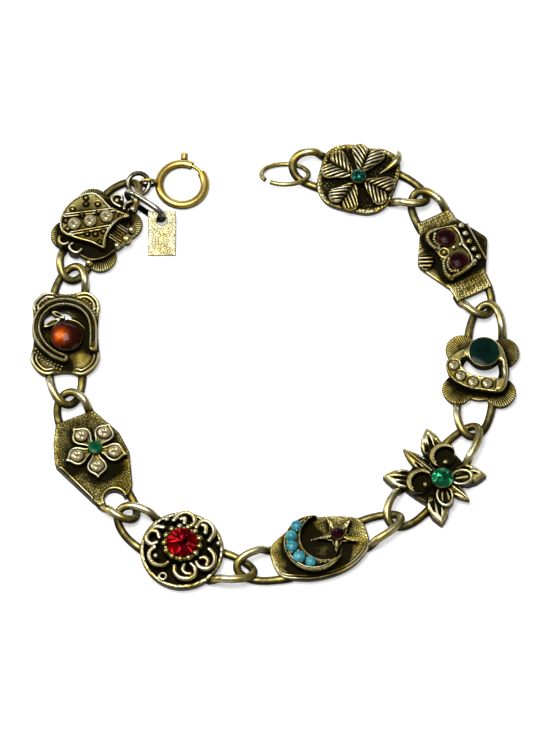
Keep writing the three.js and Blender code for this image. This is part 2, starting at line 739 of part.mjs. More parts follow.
/** The hang tag: a small plate with a hole near one end, at its origin. */
function hangTag() {
  const { width, length, thickness, hole, inset } = tag;
  const plate = new THREE.BoxGeometry(width, length, thickness).translate(0, inset - length / 2, 0);
  return solid(plate).subtract(post(0, 0, hole, -thickness, thickness, 12));
}

// ---------------------------------------------------------------- assembly

const bracelet = new THREE.Group();
for (const name of Object.keys(links)) bracelet.add(linkGroup(name));

const claspGroup = new THREE.Group();
claspGroup.add(meshOf("spring_ring", springRing(), brightBrass));
claspGroup.add(meshOf("spring_ring_gate", gate(), brightBrass));
claspGroup.position.set(clasp.x, clasp.y, clasp.tube);
bracelet.add(claspGroup);

const claspRingPath = ovalPath(claspRing.length, claspRing.width, claspRing.rise);
const claspRingWire = closedWire(claspRingPath, claspRing.wire, 16);
const claspRingMesh = meshOf("clasp_jump_ring", claspRingWire, darkSteel);
claspRingMesh.position.set(...claspRing.at);
claspRingMesh.rotation.z = radians(claspRing.turn);
bracelet.add(claspRingMesh);

// The tag's ring stands on its long side across the shield link's last loop.
const tagRingPath = uprightPath(tagRing.length, tagRing.height);
const tagRingMesh = meshOf("tag_jump_ring", closedWire(tagRingPath, tagRing.wire, 24), darkSteel);
tagRingMesh.position.set(...tagRing.at);
tagRingMesh.rotation.z = radians(tagRing.turn);
const besideShield = new THREE.Group();
besideShield.position.set(links.shield.x, links.shield.y, 0);
besideShield.rotation.z = radians(links.shield.turn);
besideShield.add(tagRingMesh);
bracelet.add(besideShield);

const tagMesh = meshOf("hang_tag", hangTag(), paleGilt);
tagMesh.position.set(...tag.at);
tagMesh.rotation.x = radians(tag.tilt);
bracelet.add(tagMesh);

const endRingPath = ovalPath(endRing.length, endRing.width, endRing.rise, endRing.from, endRing.to);
const endRingMesh = meshOf("end_jump_ring", wire(endRingPath, endRing.wire, 22), agedBrass);
endRingMesh.position.set(...endRing.at);
bracelet.add(endRingMesh);

// The footprint's middle becomes the origin.
const footprint = new THREE.Box3().setFromObject(bracelet, true);
const middle = footprint.getCenter(new THREE.Vector3());
bracelet.position.set(-middle.x, -middle.y, -footprint.min.z);

export default bracelet;
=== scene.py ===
import json
import math

import bmesh
import bpy
import numpy as np
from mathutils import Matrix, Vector


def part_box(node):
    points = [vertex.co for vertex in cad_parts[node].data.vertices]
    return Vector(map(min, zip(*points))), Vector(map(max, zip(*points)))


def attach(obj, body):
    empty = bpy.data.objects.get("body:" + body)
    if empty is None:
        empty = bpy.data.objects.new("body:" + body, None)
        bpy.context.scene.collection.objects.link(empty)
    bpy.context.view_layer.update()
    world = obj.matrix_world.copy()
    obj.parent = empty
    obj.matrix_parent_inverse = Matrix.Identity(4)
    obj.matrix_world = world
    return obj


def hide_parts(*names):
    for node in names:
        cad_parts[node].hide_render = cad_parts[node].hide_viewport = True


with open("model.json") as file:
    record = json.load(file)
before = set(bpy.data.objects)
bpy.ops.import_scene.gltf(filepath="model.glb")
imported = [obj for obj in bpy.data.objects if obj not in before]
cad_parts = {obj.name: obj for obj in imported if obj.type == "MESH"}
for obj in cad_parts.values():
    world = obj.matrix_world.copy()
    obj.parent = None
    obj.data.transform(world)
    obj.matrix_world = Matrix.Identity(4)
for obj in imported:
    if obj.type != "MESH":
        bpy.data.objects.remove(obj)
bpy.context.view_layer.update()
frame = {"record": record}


# ================================================================ the studio
# A lit sheet of white acrylic under a large soft box overhead, with a smaller one at the left and a
# low strip behind. The camera looks down on the bracelet steeply, from a long way off.

def linear(code):
    """A colour written as an sRGB hex value, as Blender's linear numbers."""
    parts = [int(code[i:i + 2], 16) / 255 for i in (1, 3, 5)]
    return (*[c / 12.92 if c <= 0.04045 else ((c + 0.055) / 1.055) ** 2.4 for c in parts], 1.0)


def feed(node, inputs):
    """Sets a node's inputs, each from a value or from another node's output. A node given by itself
    stands for its first output."""
    for key, value in inputs.items():
        if isinstance(value, bpy.types.Node):
            value = value.outputs[0]
        if isinstance(value, bpy.types.NodeSocket):
            node.id_data.links.new(value, node.inputs[key])
        else:
            node.inputs[key].default_value = value
    return node


def add_node(tree, kind, inputs=None, stops=(), **settings):
    """Adds one node with its settings and inputs, and its stops (place, colour) if it is a ramp."""
    node = tree.nodes.new(kind)
    for key, value in settings.items():
        setattr(node, key, value)
    if stops:
        elements = node.color_ramp.elements
        elements[0].position, elements[1].position = stops[0][0], stops[-1][0]
        for place, _ in stops[1:-1]:
            elements.new(place)
        for element, (_, colour) in zip(elements, stops):
            element.color = linear(colour)
    return feed(node, inputs or {})


def new_material(name):
    """A material, its node tree and its shader."""
    material = bpy.data.materials.new(name)
    material.use_nodes = True
    return material, material.node_tree, material.node_tree.nodes["Principled BSDF"]


def in_scene(name, data):
    """An object of that name in the scene."""
    thing = bpy.data.objects.new(name, data)
    bpy.context.collection.objects.link(thing)
    return thing


camera_rise = math.radians(65.1)  # how steeply the camera looks down
camera_distance = 2.6
frame_height = 0.107  # what the long side of the view takes in at that distance
looks_at = Vector((0.0, -0.0003, 0.0017))
camera_data = bpy.data.cameras.new("camera")
camera_data.sensor_width = 36.0
camera_data.lens = camera_data.sensor_width * camera_distance / frame_height
camera = in_scene("camera", camera_data)
away = Vector((0, -math.cos(camera_rise), math.sin(camera_rise)))
camera.location = looks_at + camera_distance * away
camera.rotation_euler = (math.pi / 2 - camera_rise, 0, 0)
bpy.context.scene.camera = camera
bpy.context.scene.view_settings.view_transform = "Standard"

floor_half = 2.6
floor_mesh = bpy.data.meshes.new("white_floor")
floor_mesh.from_pydata(
    [(x * floor_half, y * floor_half, 0) for x, y in ((-1, -1), (1, -1), (1, 1), (-1, 1))],
    [], [(0, 1, 2, 3)],
)
in_scene("white_floor", floor_mesh)

# White acrylic sheet lit softly from below, which keeps shadows faint: matt, with a tooth of 0.4 mm.
card, card_tree, card_shader = new_material("white_acrylic_sheet")
card_place = add_node(card_tree, "ShaderNodeTexCoord").outputs["Object"]
card_tooth = add_node(card_tree, "ShaderNodeTexNoise", {"Vector": card_place, "Scale": 2500.0})
card_bump = add_node(
    card_tree, "ShaderNodeBump", {"Height": card_tooth, "Strength": 0.1, "Distance": 0.00003},
)
feed(card_shader, {
    "Base Color": linear("#f6f6f4"), "Roughness": 0.9, "Specular IOR Level": 0.1,
    "Emission Color": linear("#ffffff"), "Emission Strength": 0.42, "Normal": card_bump,
})
floor_mesh.materials.append(card)

for name, power, width, depth, place in (
    ("overhead_box", 3.3, 0.38, 0.30, (-0.10, -0.03, 0.60)),
    ("left_box", 1.2, 0.20, 0.35, (-0.55, 0.16, 0.32)),
    ("back_strip", 0.45, 0.5, 0.08, (0.10, 0.62, 0.20)),
):
    lamp = bpy.data.lights.new(name, "AREA")
    lamp.shape = "RECTANGLE"
    lamp.energy, lamp.size, lamp.size_y = power, width, depth
    box_light = in_scene(name, lamp)
    box_light.location = place
    box_light.rotation_euler = (looks_at - Vector(place)).to_track_quat("-Z", "Y").to_euler()

# The room round the table: a pale ceiling over darker walls, which polished metal mirrors.
world = bpy.data.worlds.new("room")
world.use_nodes = True
bpy.context.scene.world = world
room = world.node_tree
room_place = add_node(room, "ShaderNodeTexCoord").outputs["Generated"]
room_height = add_node(room, "ShaderNodeSeparateXYZ", {"Vector": room_place}).outputs["Z"]
room_shade = add_node(
    room, "ShaderNodeValToRGB", {"Fac": room_height}, [(0.10, "#4c4b48"), (0.80, "#e4e3e0")],
)
feed(room.nodes["Background"], {"Color": room_shade, "Strength": 0.27})


# ================================================================ the end jump ring
# An open oval ring bent from round wire, antiqued with the links, its two ends a little apart.
# It hangs in the clover link's free loop and takes the clasp. Sizes are in mm until a piece is laid.

def new_tree(name, **inputs):
    """An empty Geometry Nodes tree with named inputs, and what its input node gives."""
    tree = bpy.data.node_groups.new(name, "GeometryNodeTree")
    add_socket = tree.interface.new_socket
    add_socket("Geometry", in_out="INPUT", socket_type="NodeSocketGeometry")
    add_socket("Geometry", in_out="OUTPUT", socket_type="NodeSocketGeometry")
    add_socket("Metal", in_out="INPUT", socket_type="NodeSocketMaterial")
    for key, value in inputs.items():
        kind = "NodeSocketInt" if isinstance(value, int) else "NodeSocketFloat"
        socket = add_socket(key.replace("_", " ").title(), in_out="INPUT", socket_type=kind)
        socket.default_value = value
    return tree, add_node(tree, "NodeGroupInput").outputs


def end_tree(tree, given, geometry):
    """Ends a tree in Realize Instances, smooth shading and Set Material."""
    real = add_node(tree, "GeometryNodeRealizeInstances", {0: geometry})
    smooth = add_node(tree, "GeometryNodeSetShadeSmooth", {0: real})
    metalled = add_node(tree, "GeometryNodeSetMaterial", {0: smooth, "Material": given["Metal"]})
    add_node(tree, "NodeGroupOutput", {0: metalled})


def end_in_wire(tree, given, size):
    """Ends a tree in a round wire along the given line, of that size from place to place."""
    line = add_node(tree, "GeometryNodeMeshToCurve", {0: given[0]})
    section = add_node(
        tree, "GeometryNodeCurvePrimitiveCircle", {"Radius": 1.0, "Resolution": given["Sides"]},
    )
    body = add_node(tree, "GeometryNodeCurveToMesh", {
        "Curve": line, "Profile Curve": section, "Scale": size, "Fill Caps": True,
    })
    end_tree(tree, given, body)


def grown(tree, *lines, metal=None, height=0.0, closed=False, **sizes):
    """Runs a Geometry Nodes tree along lines, or on their points, and returns the plain mesh that it
    makes. A point with no height of its own is at height."""
    points, edges = [], []
    for line in lines:
        first = len(points)
        points += [tuple(p) if len(p) == 3 else (*p, height) for p in line]
        edges += [(k, k + 1) for k in range(first, len(points) - 1)]
        if closed:
            edges.append((len(points) - 1, first))
    mesh = bpy.data.meshes.new("line")
    mesh.from_pydata(points, edges, [])
    holder = in_scene("holder", mesh)
    modifier = holder.modifiers.new("tree", "NODES")
    modifier.node_group = tree
    sizes["metal"] = metal or aged_brass
    for item in tree.interface.items_tree:
        wanted = item.name.replace(" ", "_").lower()
        if item.in_out == "INPUT" and wanted in sizes:
            modifier[item.identifier] = sizes[wanted]
    view = bpy.context.evaluated_depsgraph_get()
    made = bpy.data.meshes.new_from_object(holder.evaluated_get(view), depsgraph=view)
    holder.modifiers.clear()
    bpy.data.objects.remove(holder)
    return made


def antiqued(name, tones, shine=0.33, brassy="#f0de88", mottle=1.0):
    """Cast brass, plated, dipped in a dark oxide and rubbed back. The oxide stays in every hollow and
    the rubbed edges show pale, bright metal: tones are rubbed, worn, dull and oxide. recess is how
    deep each place lies, in mm, with painted shade added on steep sides and beside taller pieces,
    and the tones draw both. In patches the plating has gone and the metal is brassy."""
    material, tree, shader = new_material(name)
    place = add_node(tree, "ShaderNodeTexCoord").outputs["Object"]
    recess_and_shade = add_node(tree, "ShaderNodeAttribute", attribute_name="recess_and_shade").outputs["Fac"]
    # Blotches of oxide are 1 mm across, clouds of it 4 mm, brassy patches 2.6 mm and pits 0.2 mm.
    blotches = add_node(
        tree, "ShaderNodeTexNoise",
        {"Vector": place, "Scale": 1000.0, "Detail": 4.0, "Roughness": 0.6},
    )
    clouds = add_node(tree, "ShaderNodeTexNoise", {"Vector": place, "Scale": 260.0, "Detail": 2.0})
    patches = add_node(tree, "ShaderNodeTexNoise", {"Vector": place, "Scale": 380.0, "Detail": 2.0})
    pits = add_node(tree, "ShaderNodeTexNoise", {"Vector": place, "Scale": 4500.0, "Detail": 3.0})
    blotched = add_node(
        tree, "ShaderNodeMath", {0: blotches, 1: 0.40 * mottle, 2: recess_and_shade}, operation="MULTIPLY_ADD",
    )
    level = add_node(
        tree, "ShaderNodeMath", {0: clouds, 1: 0.34 * mottle, 2: blotched}, operation="MULTIPLY_ADD",
    )
    # The oxide and the painted shade carried in recess set the tone together.
    oxide_and_shade = add_node(tree, "ShaderNodeMapRange", {"Value": level, "From Min": 0.06, "From Max": 0.68})
    shade = add_node(
        tree, "ShaderNodeValToRGB", {"Fac": oxide_and_shade}, list(zip((0.0, 0.30, 0.56, 0.88), tones)),
    )
    bare = add_node(
        tree, "ShaderNodeMapRange",
        {"Value": patches, "From Min": 0.46, "From Max": 0.6, "To Max": 0.75},
    )
    tinted = add_node(
        tree, "ShaderNodeMix", {0: bare, 6: shade, 7: linear(brassy)},
        data_type="RGBA", blend_type="MULTIPLY",
    )
    dull = add_node(
        tree, "ShaderNodeMapRange",
        {"Value": oxide_and_shade, "From Min": 0.2, "From Max": 1.0, "To Min": shine, "To Max": 0.6},
    )
    bump = add_node(tree, "ShaderNodeBump", {"Height": pits, "Strength": 0.3, "Distance": 0.00004})
    feed(shader, {
        "Base Color": tinted.outputs[2], "Metallic": 1.0, "Roughness": dull, "Normal": bump,
    })
    return material


# Antiqued cast brass: rubbed edges look like old silver-gilt, and the hollows nearly black.
aged_brass = antiqued("antiqued_cast_brass", ("#e0d9ba", "#b0a362", "#625930", "#1b190d"))

# Round wire along a line, thicker at its two ends where a cast loop leaves its plate.
round_wire, wire_given = new_tree("round_wire", wire_radius=0.47, root_swell=0.0, sides=16)
wire_share = add_node(round_wire, "GeometryNodeSplineParameter")
wire_off_middle = add_node(round_wire, "ShaderNodeMath", {0: wire_share, 1: 0.5}, operation="SUBTRACT")
wire_to_end = add_node(round_wire, "ShaderNodeMath", {0: wire_off_middle}, operation="ABSOLUTE")
wire_near_root = add_node(
    round_wire, "ShaderNodeMapRange", {"Value": wire_to_end, "From Min": 0.3, "From Max": 0.5},
    interpolation_type="SMOOTHSTEP",
)
wire_size = add_node(
    round_wire, "ShaderNodeMath",
    {0: wire_near_root, 1: wire_given["Root Swell"], 2: wire_given["Wire Radius"]},
    operation="MULTIPLY_ADD",
)
end_in_wire(round_wire, wire_given, wire_size)


def swung(x, y, turn):
    """A place swung about the middle by turn degrees."""
    c, s = math.cos(math.radians(turn)), math.sin(math.radians(turn))
    return x * c - y * s, x * s + y * c


def points_of(mesh):
    found = np.empty(len(mesh.vertices) * 3)
    mesh.vertices.foreach_get("co", found)
    return found.reshape(-1, 3)


def blurred(heights, reach):
    """A height map softened over reach cells."""
    span = int(3 * reach) + 1
    taps = np.exp(-0.5 * (np.arange(-span, span + 1) / reach) ** 2)
    taps /= taps.sum()
    padded = np.pad(heights, span, mode="edge")
    across = sum(t * padded[:, k:k + heights.shape[1]] for k, t in enumerate(taps))
    return sum(t * across[k:k + heights.shape[0]] for k, t in enumerate(taps))


wire_oxide = -0.03  # plain wire and turned pieces keep a little less oxide than castings
# A point below the blurred heights round it keeps oxide as in a real hollow, and also gets painted shade
# where taller pieces stand beside it; raised places are rubbed lighter.
most_rubbed, most_oxide_and_shade = -0.17, 0.42
close_reach, close_oxide_and_shade, broad_reach, broad_oxide_and_shade = 0.25, 0.5, 0.8, 0.3
# Sides that face less upward than steep_from get painted shade, more the steeper they face.
steep_from, steep_shade = 0.75, 0.7


def lay(place, nodes, body="bracelet", tarnish=0.0):
    """Lays pieces in the chain: nodes gives each CAD node's pieces by name, and place is their middle
    in metres and their turn. How far each point lies below the metal round it becomes recess, which
    the oxide follows and which also paints shade beside taller pieces; steep sides get painted shade."""
    cell, half_x, half_y = 0.1, 15.0, 10.0  # the height map's cell, and half its sides
    shape = (int(2 * half_y / cell), int(2 * half_x / cell))
    heights = np.zeros(shape)
    laid = []
    for node, meshes in nodes.items():
        for name, mesh in meshes.items():
            p = points_of(mesh)
            col = np.clip(((p[:, 0] + half_x) / cell).astype(int), 0, shape[1] - 1)
            row = np.clip(((p[:, 1] + half_y) / cell).astype(int), 0, shape[0] - 1)
            np.maximum.at(heights, (row, col), p[:, 2])
            laid.append((name, mesh, node, p, row, col))
    for _ in range(2):
        near = [np.roll(heights, s, a) for a in (0, 1) for s in (-1, 1)]
        heights = np.where(heights == 0, np.maximum.reduce(near), heights)
    close, broad = blurred(heights, close_reach / cell), blurred(heights, broad_reach / cell)
    for name, mesh, node, p, row, col in laid:
        own = np.full(len(p), wire_oxide)
        if "recess_and_shade" in mesh.attributes:
            mesh.attributes["recess_and_shade"].data.foreach_get("value", own)
        else:
            mesh.attributes.new("recess_and_shade", "FLOAT", "POINT")
        normals = np.empty(len(p) * 3)
        mesh.vertex_normals.foreach_get("vector", normals)
        # Painted shade: the steeper or more downward a side faces, the darker it is made.
        steep = steep_shade * np.clip(steep_from - normals.reshape(-1, 3)[:, 2], 0, 1)
        # Oxide in hollows, and painted shade beside taller pieces, from the blurred height maps.
        below = close_oxide_and_shade * (close[row, col] - p[:, 2]) + broad_oxide_and_shade * (broad[row, col] - p[:, 2])
        recess_and_shade = own + np.clip(below, most_rubbed, most_oxide_and_shade) + steep + tarnish
        mesh.attributes["recess_and_shade"].data.foreach_set("value", recess_and_shade.astype(np.float32))
        x, y = swung(p[:, 0], p[:, 1], place["turn"])
        laid_points = np.stack([place["x"] + x / 1000, place["y"] + y / 1000, p[:, 2] / 1000], 1)
        mesh.vertices.foreach_set("co", laid_points.ravel())
        mesh.update()
        piece = in_scene(name, mesh)
        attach(piece, body)
        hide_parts(node)


def middle_of(node):
    """The middle of a node's box as a place that isn't turned, and its height in mm."""
    low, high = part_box(node)
    middle = (low + high) / 2
    return {"x": middle.x, "y": middle.y, "turn": 0.0}, middle.z * 1000


def ring_line(x, y, rx, ry=None, turn=0.0, start=0.0, end=360.0, steps=48):
    """Points along an oval, or along a part of it when start and end are given."""
    angle = np.radians(np.linspace(start, end, steps + 1))
    if abs(end - start) >= 360:
        angle = angle[:-1]
    u, v = swung(rx * np.cos(angle), (ry or rx) * np.sin(angle), turn)
    return np.stack([x + u, y + v], 1)


end_ring_place, end_ring_height = middle_of("end_jump_ring")
end_ring_rise = -0.42
end_ring_line = [
    (x, y, end_ring_height + end_ring_rise * y)
    for x, y in ring_line(0, 0, 3.45, 2.05, start=232, end=572, steps=72)
]
end_ring = grown(round_wire, end_ring_line, wire_radius=0.35)
lay(end_ring_place, {"end_jump_ring": {"end_ring": end_ring}}, tarnish=0.05)


# ================================================================ the clover link
# A hammered eight-sided plate cast in brass with its two end loops. Four heart-shaped clover
# leaves with chased veins and a curved stem are soldered on it round a green glass stone.

def place_of(stone, x, y, turn):
    """A link's place from the frame: where its stone is, the stone's place in it, and its turn."""
    at, _ = middle_of(stone)
    off_x, off_y = swung(x, y, turn)
    return {"x": at["x"] - off_x / 1000, "y": at["y"] - off_y / 1000, "turn": turn}


def around(middle, reach, turn):
    """The place at reach from a middle, turn degrees round it."""
    angle = math.radians(turn)
    return middle[0] + reach * math.cos(angle), middle[1] + reach * math.sin(angle)


def curve_through(points, closed=True, steps=10):
    """A smooth line through points, with steps pieces between each two of them."""
    p = np.array(points, float)
    count = len(p)
    out = []
    for i in range(count if closed else count - 1):
        if closed:
            a, b, c, d = (p[(i + k) % count] for k in (-1, 0, 1, 2))
        else:
            a, b, c, d = p[max(i - 1, 0)], p[i], p[i + 1], p[min(i + 2, count - 1)]
        for t in np.arange(steps) / steps:
            out.append(0.5 * (
                2 * b + (c - a) * t + (2 * a - 5 * b + 4 * c - d) * t ** 2
                + (3 * b - 3 * c + d - a) * t ** 3
            ))
    if not closed:
        out.append(p[-1])
    return np.array(out)


def off_line(x, y, line, closed=False):
    """Each point's distance from a line, and how far along the line its nearest place is."""
    a = np.asarray(line, float)[:, :2]
    b = np.roll(a, -1, 0)
    if not closed:
        a, b = a[:-1], b[:-1]
    run = np.concatenate([[0], np.cumsum(np.hypot(*(b - a).T))])
    best = np.full(np.shape(x), 1e9)
    along = np.zeros(np.shape(x))
    for i, (p, q) in enumerate(zip(a, b)):
        d = q - p
        length = max(d @ d, 1e-12)
        t = np.clip(((x - p[0]) * d[0] + (y - p[1]) * d[1]) / length, 0, 1)
        gap = np.hypot(x - p[0] - t * d[0], y - p[1] - t * d[1])
        nearer = gap < best
        best = np.where(nearer, gap, best)
        along = np.where(nearer, run[i] + t * math.sqrt(length), along)
    return best, along


def depth_in(line):
    """A function that gives how far a place lies inside a closed line, below zero outside it."""
    line = np.asarray(line, float)

    def depth(x, y):
        gap, _ = off_line(x, y, line, closed=True)
        inside = np.zeros(np.shape(x), bool)
        for (ax, ay), (bx, by) in zip(line, np.roll(line, -1, 0)):
            crosses = (ay > y) != (by > y)
            slope = (bx - ax) / (by - ay) if by != ay else 0.0
            inside ^= crosses & (x < ax + (y - ay) * slope)
        return np.where(inside, gap, -gap)

    return depth


def dome(depth, radius):
    """A rounded profile from 0 at an edge to 1 at radius inside it."""
    t = np.clip(depth / radius, 0, 1)
    return np.sqrt(1 - (1 - t) ** 2)


def ease(value, low, high):
    """0 up to low, 1 from high, and a smooth step between."""
    t = np.clip((value - low) / (high - low), 0, 1)
    return t * t * (3 - 2 * t)


def hammered(x, y, size, seed):
    """A hammered or stippled ground: 0 on the lines between blows, 1 in the middle of each. size is
    how far apart they are."""
    cells, steepness = 64, 1.6
    shift = np.random.default_rng(seed).random((cells, cells, 2))
    u, v = x / size + cells / 2, y / size + cells / 2
    iu, iv = np.floor(u).astype(int), np.floor(v).astype(int)
    first = np.full(np.shape(x), 9.0)
    second = np.full(np.shape(x), 9.0)
    for du in (-1, 0, 1):
        for dv in (-1, 0, 1):
            cu, cv = (iu + du) % cells, (iv + dv) % cells
            gap = np.hypot(iu + du + shift[cu, cv, 0] - u, iv + dv + shift[cu, cv, 1] - v)
            second = np.minimum(second, np.maximum(first, gap))
            first = np.minimum(first, gap)
    return np.clip((second - first) * steepness, 0, 1)


def solid(points, faces, material, crease=55):
    """A closed mesh of one material, an open back filled in and every face turned outwards. Edges
    sharper than crease degrees stay sharp, and with no crease every face is flat."""
    mesh = bpy.data.meshes.new("solid")
    mesh.from_pydata(points, [], faces)
    bm = bmesh.new()
    bm.from_mesh(mesh)
    back = [e for e in bm.edges if e.is_boundary]
    if back:
        bmesh.ops.triangle_fill(bm, edges=back, use_beauty=False)
    bmesh.ops.recalc_face_normals(bm, faces=bm.faces)
    bm.to_mesh(mesh)
    bm.free()
    mesh.materials.append(material)
    if crease:
        mesh.polygons.foreach_set("use_smooth", [True] * len(mesh.polygons))
        mesh.set_sharp_from_angle(angle=math.radians(crease))
    return mesh


def marked(mesh, name, kind, field, values):
    """Keeps a value of each of a mesh's points on it by name, for the materials."""
    attribute = mesh.attributes.new(name, kind, "POINT")
    attribute.data.foreach_set(field, values.astype(np.float32).ravel())
    return mesh


def joined(*meshes):
    """Several meshes of one metal as one mesh."""
    bm = bmesh.new()
    for mesh in meshes:
        bm.from_mesh(mesh)
    for face in bm.faces:
        face.material_index = 0
    out = bpy.data.meshes.new("joined")
    bm.to_mesh(out)
    bm.free()
    out.materials.append(meshes[0].materials[-1])
    return out


def border_of(faces, count):
    """The outer edges of a mesh's faces, each in its face's own direction."""
    starts = np.concatenate([np.ravel(f) for f in faces])
    ends = np.concatenate([np.ravel(np.roll(f, -1, 1)) for f in faces])
    alone = ~np.isin(starts * count + ends, ends * count + starts)
    return starts[alone], ends[alone]


wall_tarnish = -0.08
groove_reach, groove_oxide, most_polished = 0.2, 2.0, -0.15
waist_height, waist_draft = 0.88, 0.1  # where a wall leaves the rim: shares of its height and draft
edge_slack = 0.45  # how many cells outside the edge a point may be and still be drawn onto it
edge_rounds, slope_reach, least_slope = 4, 0.01, 0.2


def casting(depth, relief, floor, span, pitch=0.09, rim=0.2, draft=0.35, tarnish=None, metal=None):
    """A cast piece as a close mesh over where depth(x, y) is above zero: its top at relief(x, y), its
    rim rounded over, its side drawn in towards the back by draft, and its back flat at floor.
    tarnish(x, y) is how much more oxide a place keeps, and on some plates painted shade as well."""
    x0, x1, y0, y1 = span
    grid_x, grid_y = np.meshgrid(np.arange(x0, x1 + pitch, pitch), np.arange(y0, y1 + pitch, pitch))
    tops = relief(grid_x, grid_y)
    own = np.maximum(groove_oxide * (blurred(tops, groove_reach / pitch) - tops), most_polished)
    if tarnish:
        own = own + tarnish(grid_x, grid_y)
    kept = depth(grid_x, grid_y).ravel() > -edge_slack * pitch
    count = kept.size
    index = np.arange(count).reshape(grid_x.shape)
    corners = np.stack([index[:-1, :-1], index[:-1, 1:], index[1:, 1:], index[1:, :-1]], -1)
    corners = corners.reshape(-1, 4)
    held = kept[corners]
    faces = [corners[held.all(1)]]
    three = held.sum(1) == 3
    faces.append(corners[three][held[three]].reshape(-1, 3))
    for _ in range(edge_rounds):
        starts, _ = border_of(faces, count)
        pinched = np.bincount(starts, minlength=count) > 1
        faces = [f[~pinched[f].any(1)] for f in faces]
    starts, ends = border_of(faces, count)
    used = np.unique(np.concatenate([np.ravel(f) for f in faces]))
    renumber = np.zeros(count, int)
    renumber[used] = np.arange(len(used))
    faces = [renumber[f] for f in faces]
    starts, ends = renumber[starts], renumber[ends]
    px, py, own = grid_x.ravel()[used], grid_y.ravel()[used], own.ravel()[used]
    for _ in range(edge_rounds):
        ex, ey = px[starts], py[starts]
        fx = (depth(ex + slope_reach, ey) - depth(ex - slope_reach, ey)) / (2 * slope_reach)
        fy = (depth(ex, ey + slope_reach) - depth(ex, ey - slope_reach)) / (2 * slope_reach)
        steep = np.maximum(fx ** 2 + fy ** 2, least_slope)
        step = np.clip(depth(ex, ey) / steep, -pitch, pitch)
        px[starts], py[starts] = ex - step * fx, ey - step * fy
    inside = np.maximum(depth(px, py), 0)
    inside[starts] = 0
    pz = np.maximum(relief(px, py) - rim * (1 - dome(inside, rim)), floor + 0.02)
    fx, fy = fx / np.sqrt(steep), fy / np.sqrt(steep)
    waist = len(used) + np.arange(len(starts))
    waist_of = np.zeros(len(used), int)
    waist_of[starts] = waist
    rings = [np.stack([px, py, pz], 1)]
    waist_z = floor + waist_height * (pz[starts] - floor)
    for inset, height in ((waist_draft * draft, waist_z), (draft, np.full(len(starts), floor))):
        rings.append(np.stack([px[starts] + inset * fx, py[starts] + inset * fy, height], 1))
    down = len(starts)
    above, below = waist_of[starts], waist_of[ends]
    walls = np.concatenate([
        np.stack([ends, starts, above, below], 1), np.stack([below, above, above + down, below + down], 1),
    ])
    mesh = solid(
        np.concatenate(rings).tolist(), [f for group in (*faces, walls) for f in group.tolist()],
        metal or aged_brass,
    )
    own = np.concatenate([own, np.full(2 * down, wall_tarnish)])
    return marked(mesh, "recess_and_shade", "FLOAT", "value", own)


plate_top, loop_height, sunk_height = 1.8, 1.5, 0.7
loop_wire, loop_swell, loop_twist, loop_steps = 0.6, 0.06, 0.58, 36
longest_foot = 1.2  # how far at most a foot runs on inside the plate's edge
# Loops are darker the lower they lie, lighter the higher, and darker towards their far end.
low_darkening, loop_lightest, loop_darkest = 0.45, -0.14, 0.4
far_darkening, far_reach, loop_oxide = 0.16, 2.0, 0.04


def end_loops(plate, *loops):
    """The half-oval loops cast onto a link's two ends, each given by how far it reaches, half its
    width, how far its root is off the middle and how far its end leans from there. Each is twisted
    so that the next link's loop can cross. Its two feet run into the plate's edge, as far as it takes
    to cover them. Each is darker the lower it lies and lighter the higher, and darker at its far
    end, where the next loop lies."""
    made = []
    for side, (reach, half, off, lean) in zip((-1, 1), loops):
        inwards = np.arange(reach, 0, -0.05)
        feet, brinks = [], []
        for across in (-half, half):
            cover = plate(side * inwards, np.full(len(inwards), off + across))
            brinks.append(inwards[np.argmax(cover > 0)])
            covered = inwards[np.argmax(cover > loop_wire + loop_swell)]
            feet.append(max(covered, brinks[-1] - longest_foot))
        line = []
        for share in np.linspace(0, 1, loop_steps + 1):
            foot, brink = (a + (b - a) * share for a, b in (feet, brinks))
            angle = math.pi * (share - 0.5)
            twist = loop_twist * (0.35 + 0.65 * math.cos(angle))
            across = half * math.sin(angle)
            along = foot + (reach - foot) * max(math.cos(angle), 0.0) ** 0.9
            buried = 1 - ease(along - brink, -0.2, 1.6)
            height = loop_height - side * across * twist
            line.append((
                side * along, off + lean * math.cos(angle) + across,
                height + (sunk_height - height) * buried,
            ))
        mesh = grown(round_wire, line, wire_radius=loop_wire, root_swell=loop_swell)
        p = points_of(mesh)
        # Darker the lower the wire lies and lighter the higher, and darker towards the far end.
        own = np.clip(low_darkening * (loop_height - p[:, 2]), loop_lightest, loop_darkest)
        own = own + far_darkening * ease(np.abs(p[:, 0]), reach - far_reach, reach) + loop_oxide
        made.append(marked(mesh, "recess_and_shade", "FLOAT", "value", own))
    return joined(*made)


def turned(x, y, profile, material=None, steps=40):
    """A piece turned about an upright axis from its profile of radii and heights. It closes on the
    axis where a radius is 0, and otherwise on itself."""
    points, rings = [], []
    for radius, height in profile:
        if radius == 0:
            rings.append([len(points)] * steps)
            points.append((x, y, height))
            continue
        rings.append(list(range(len(points), len(points) + steps)))
        points += [(px, py, height) for px, py in ring_line(x, y, radius, steps=steps)]
    if profile[0][0] > 0:
        rings.append(rings[0])
    faces = []
    for low, high in zip(rings, rings[1:]):
        for k in range(steps):
            n = (k + 1) % steps
            corners = list(dict.fromkeys([low[k], low[n], high[n], high[k]]))
            if len(corners) > 2:
                faces.append(corners)
    return solid(points, faces, material or aged_brass)


def collar(x, y, r, foot, top, wall=0.2, steps=40):
    """A plain bezel: a round wall closed over the edge of a stone of radius r."""
    profile = [
        (r + 0.03, foot), (r + 0.03, top - 0.06), (r - 0.05, top + 0.03), (r + 0.02, top + 0.10),
        (r + 0.6 * wall, top + 0.04), (r + wall, top - 0.12), (r + wall + 0.04, foot),
    ]
    return turned(x, y, profile, steps=steps)


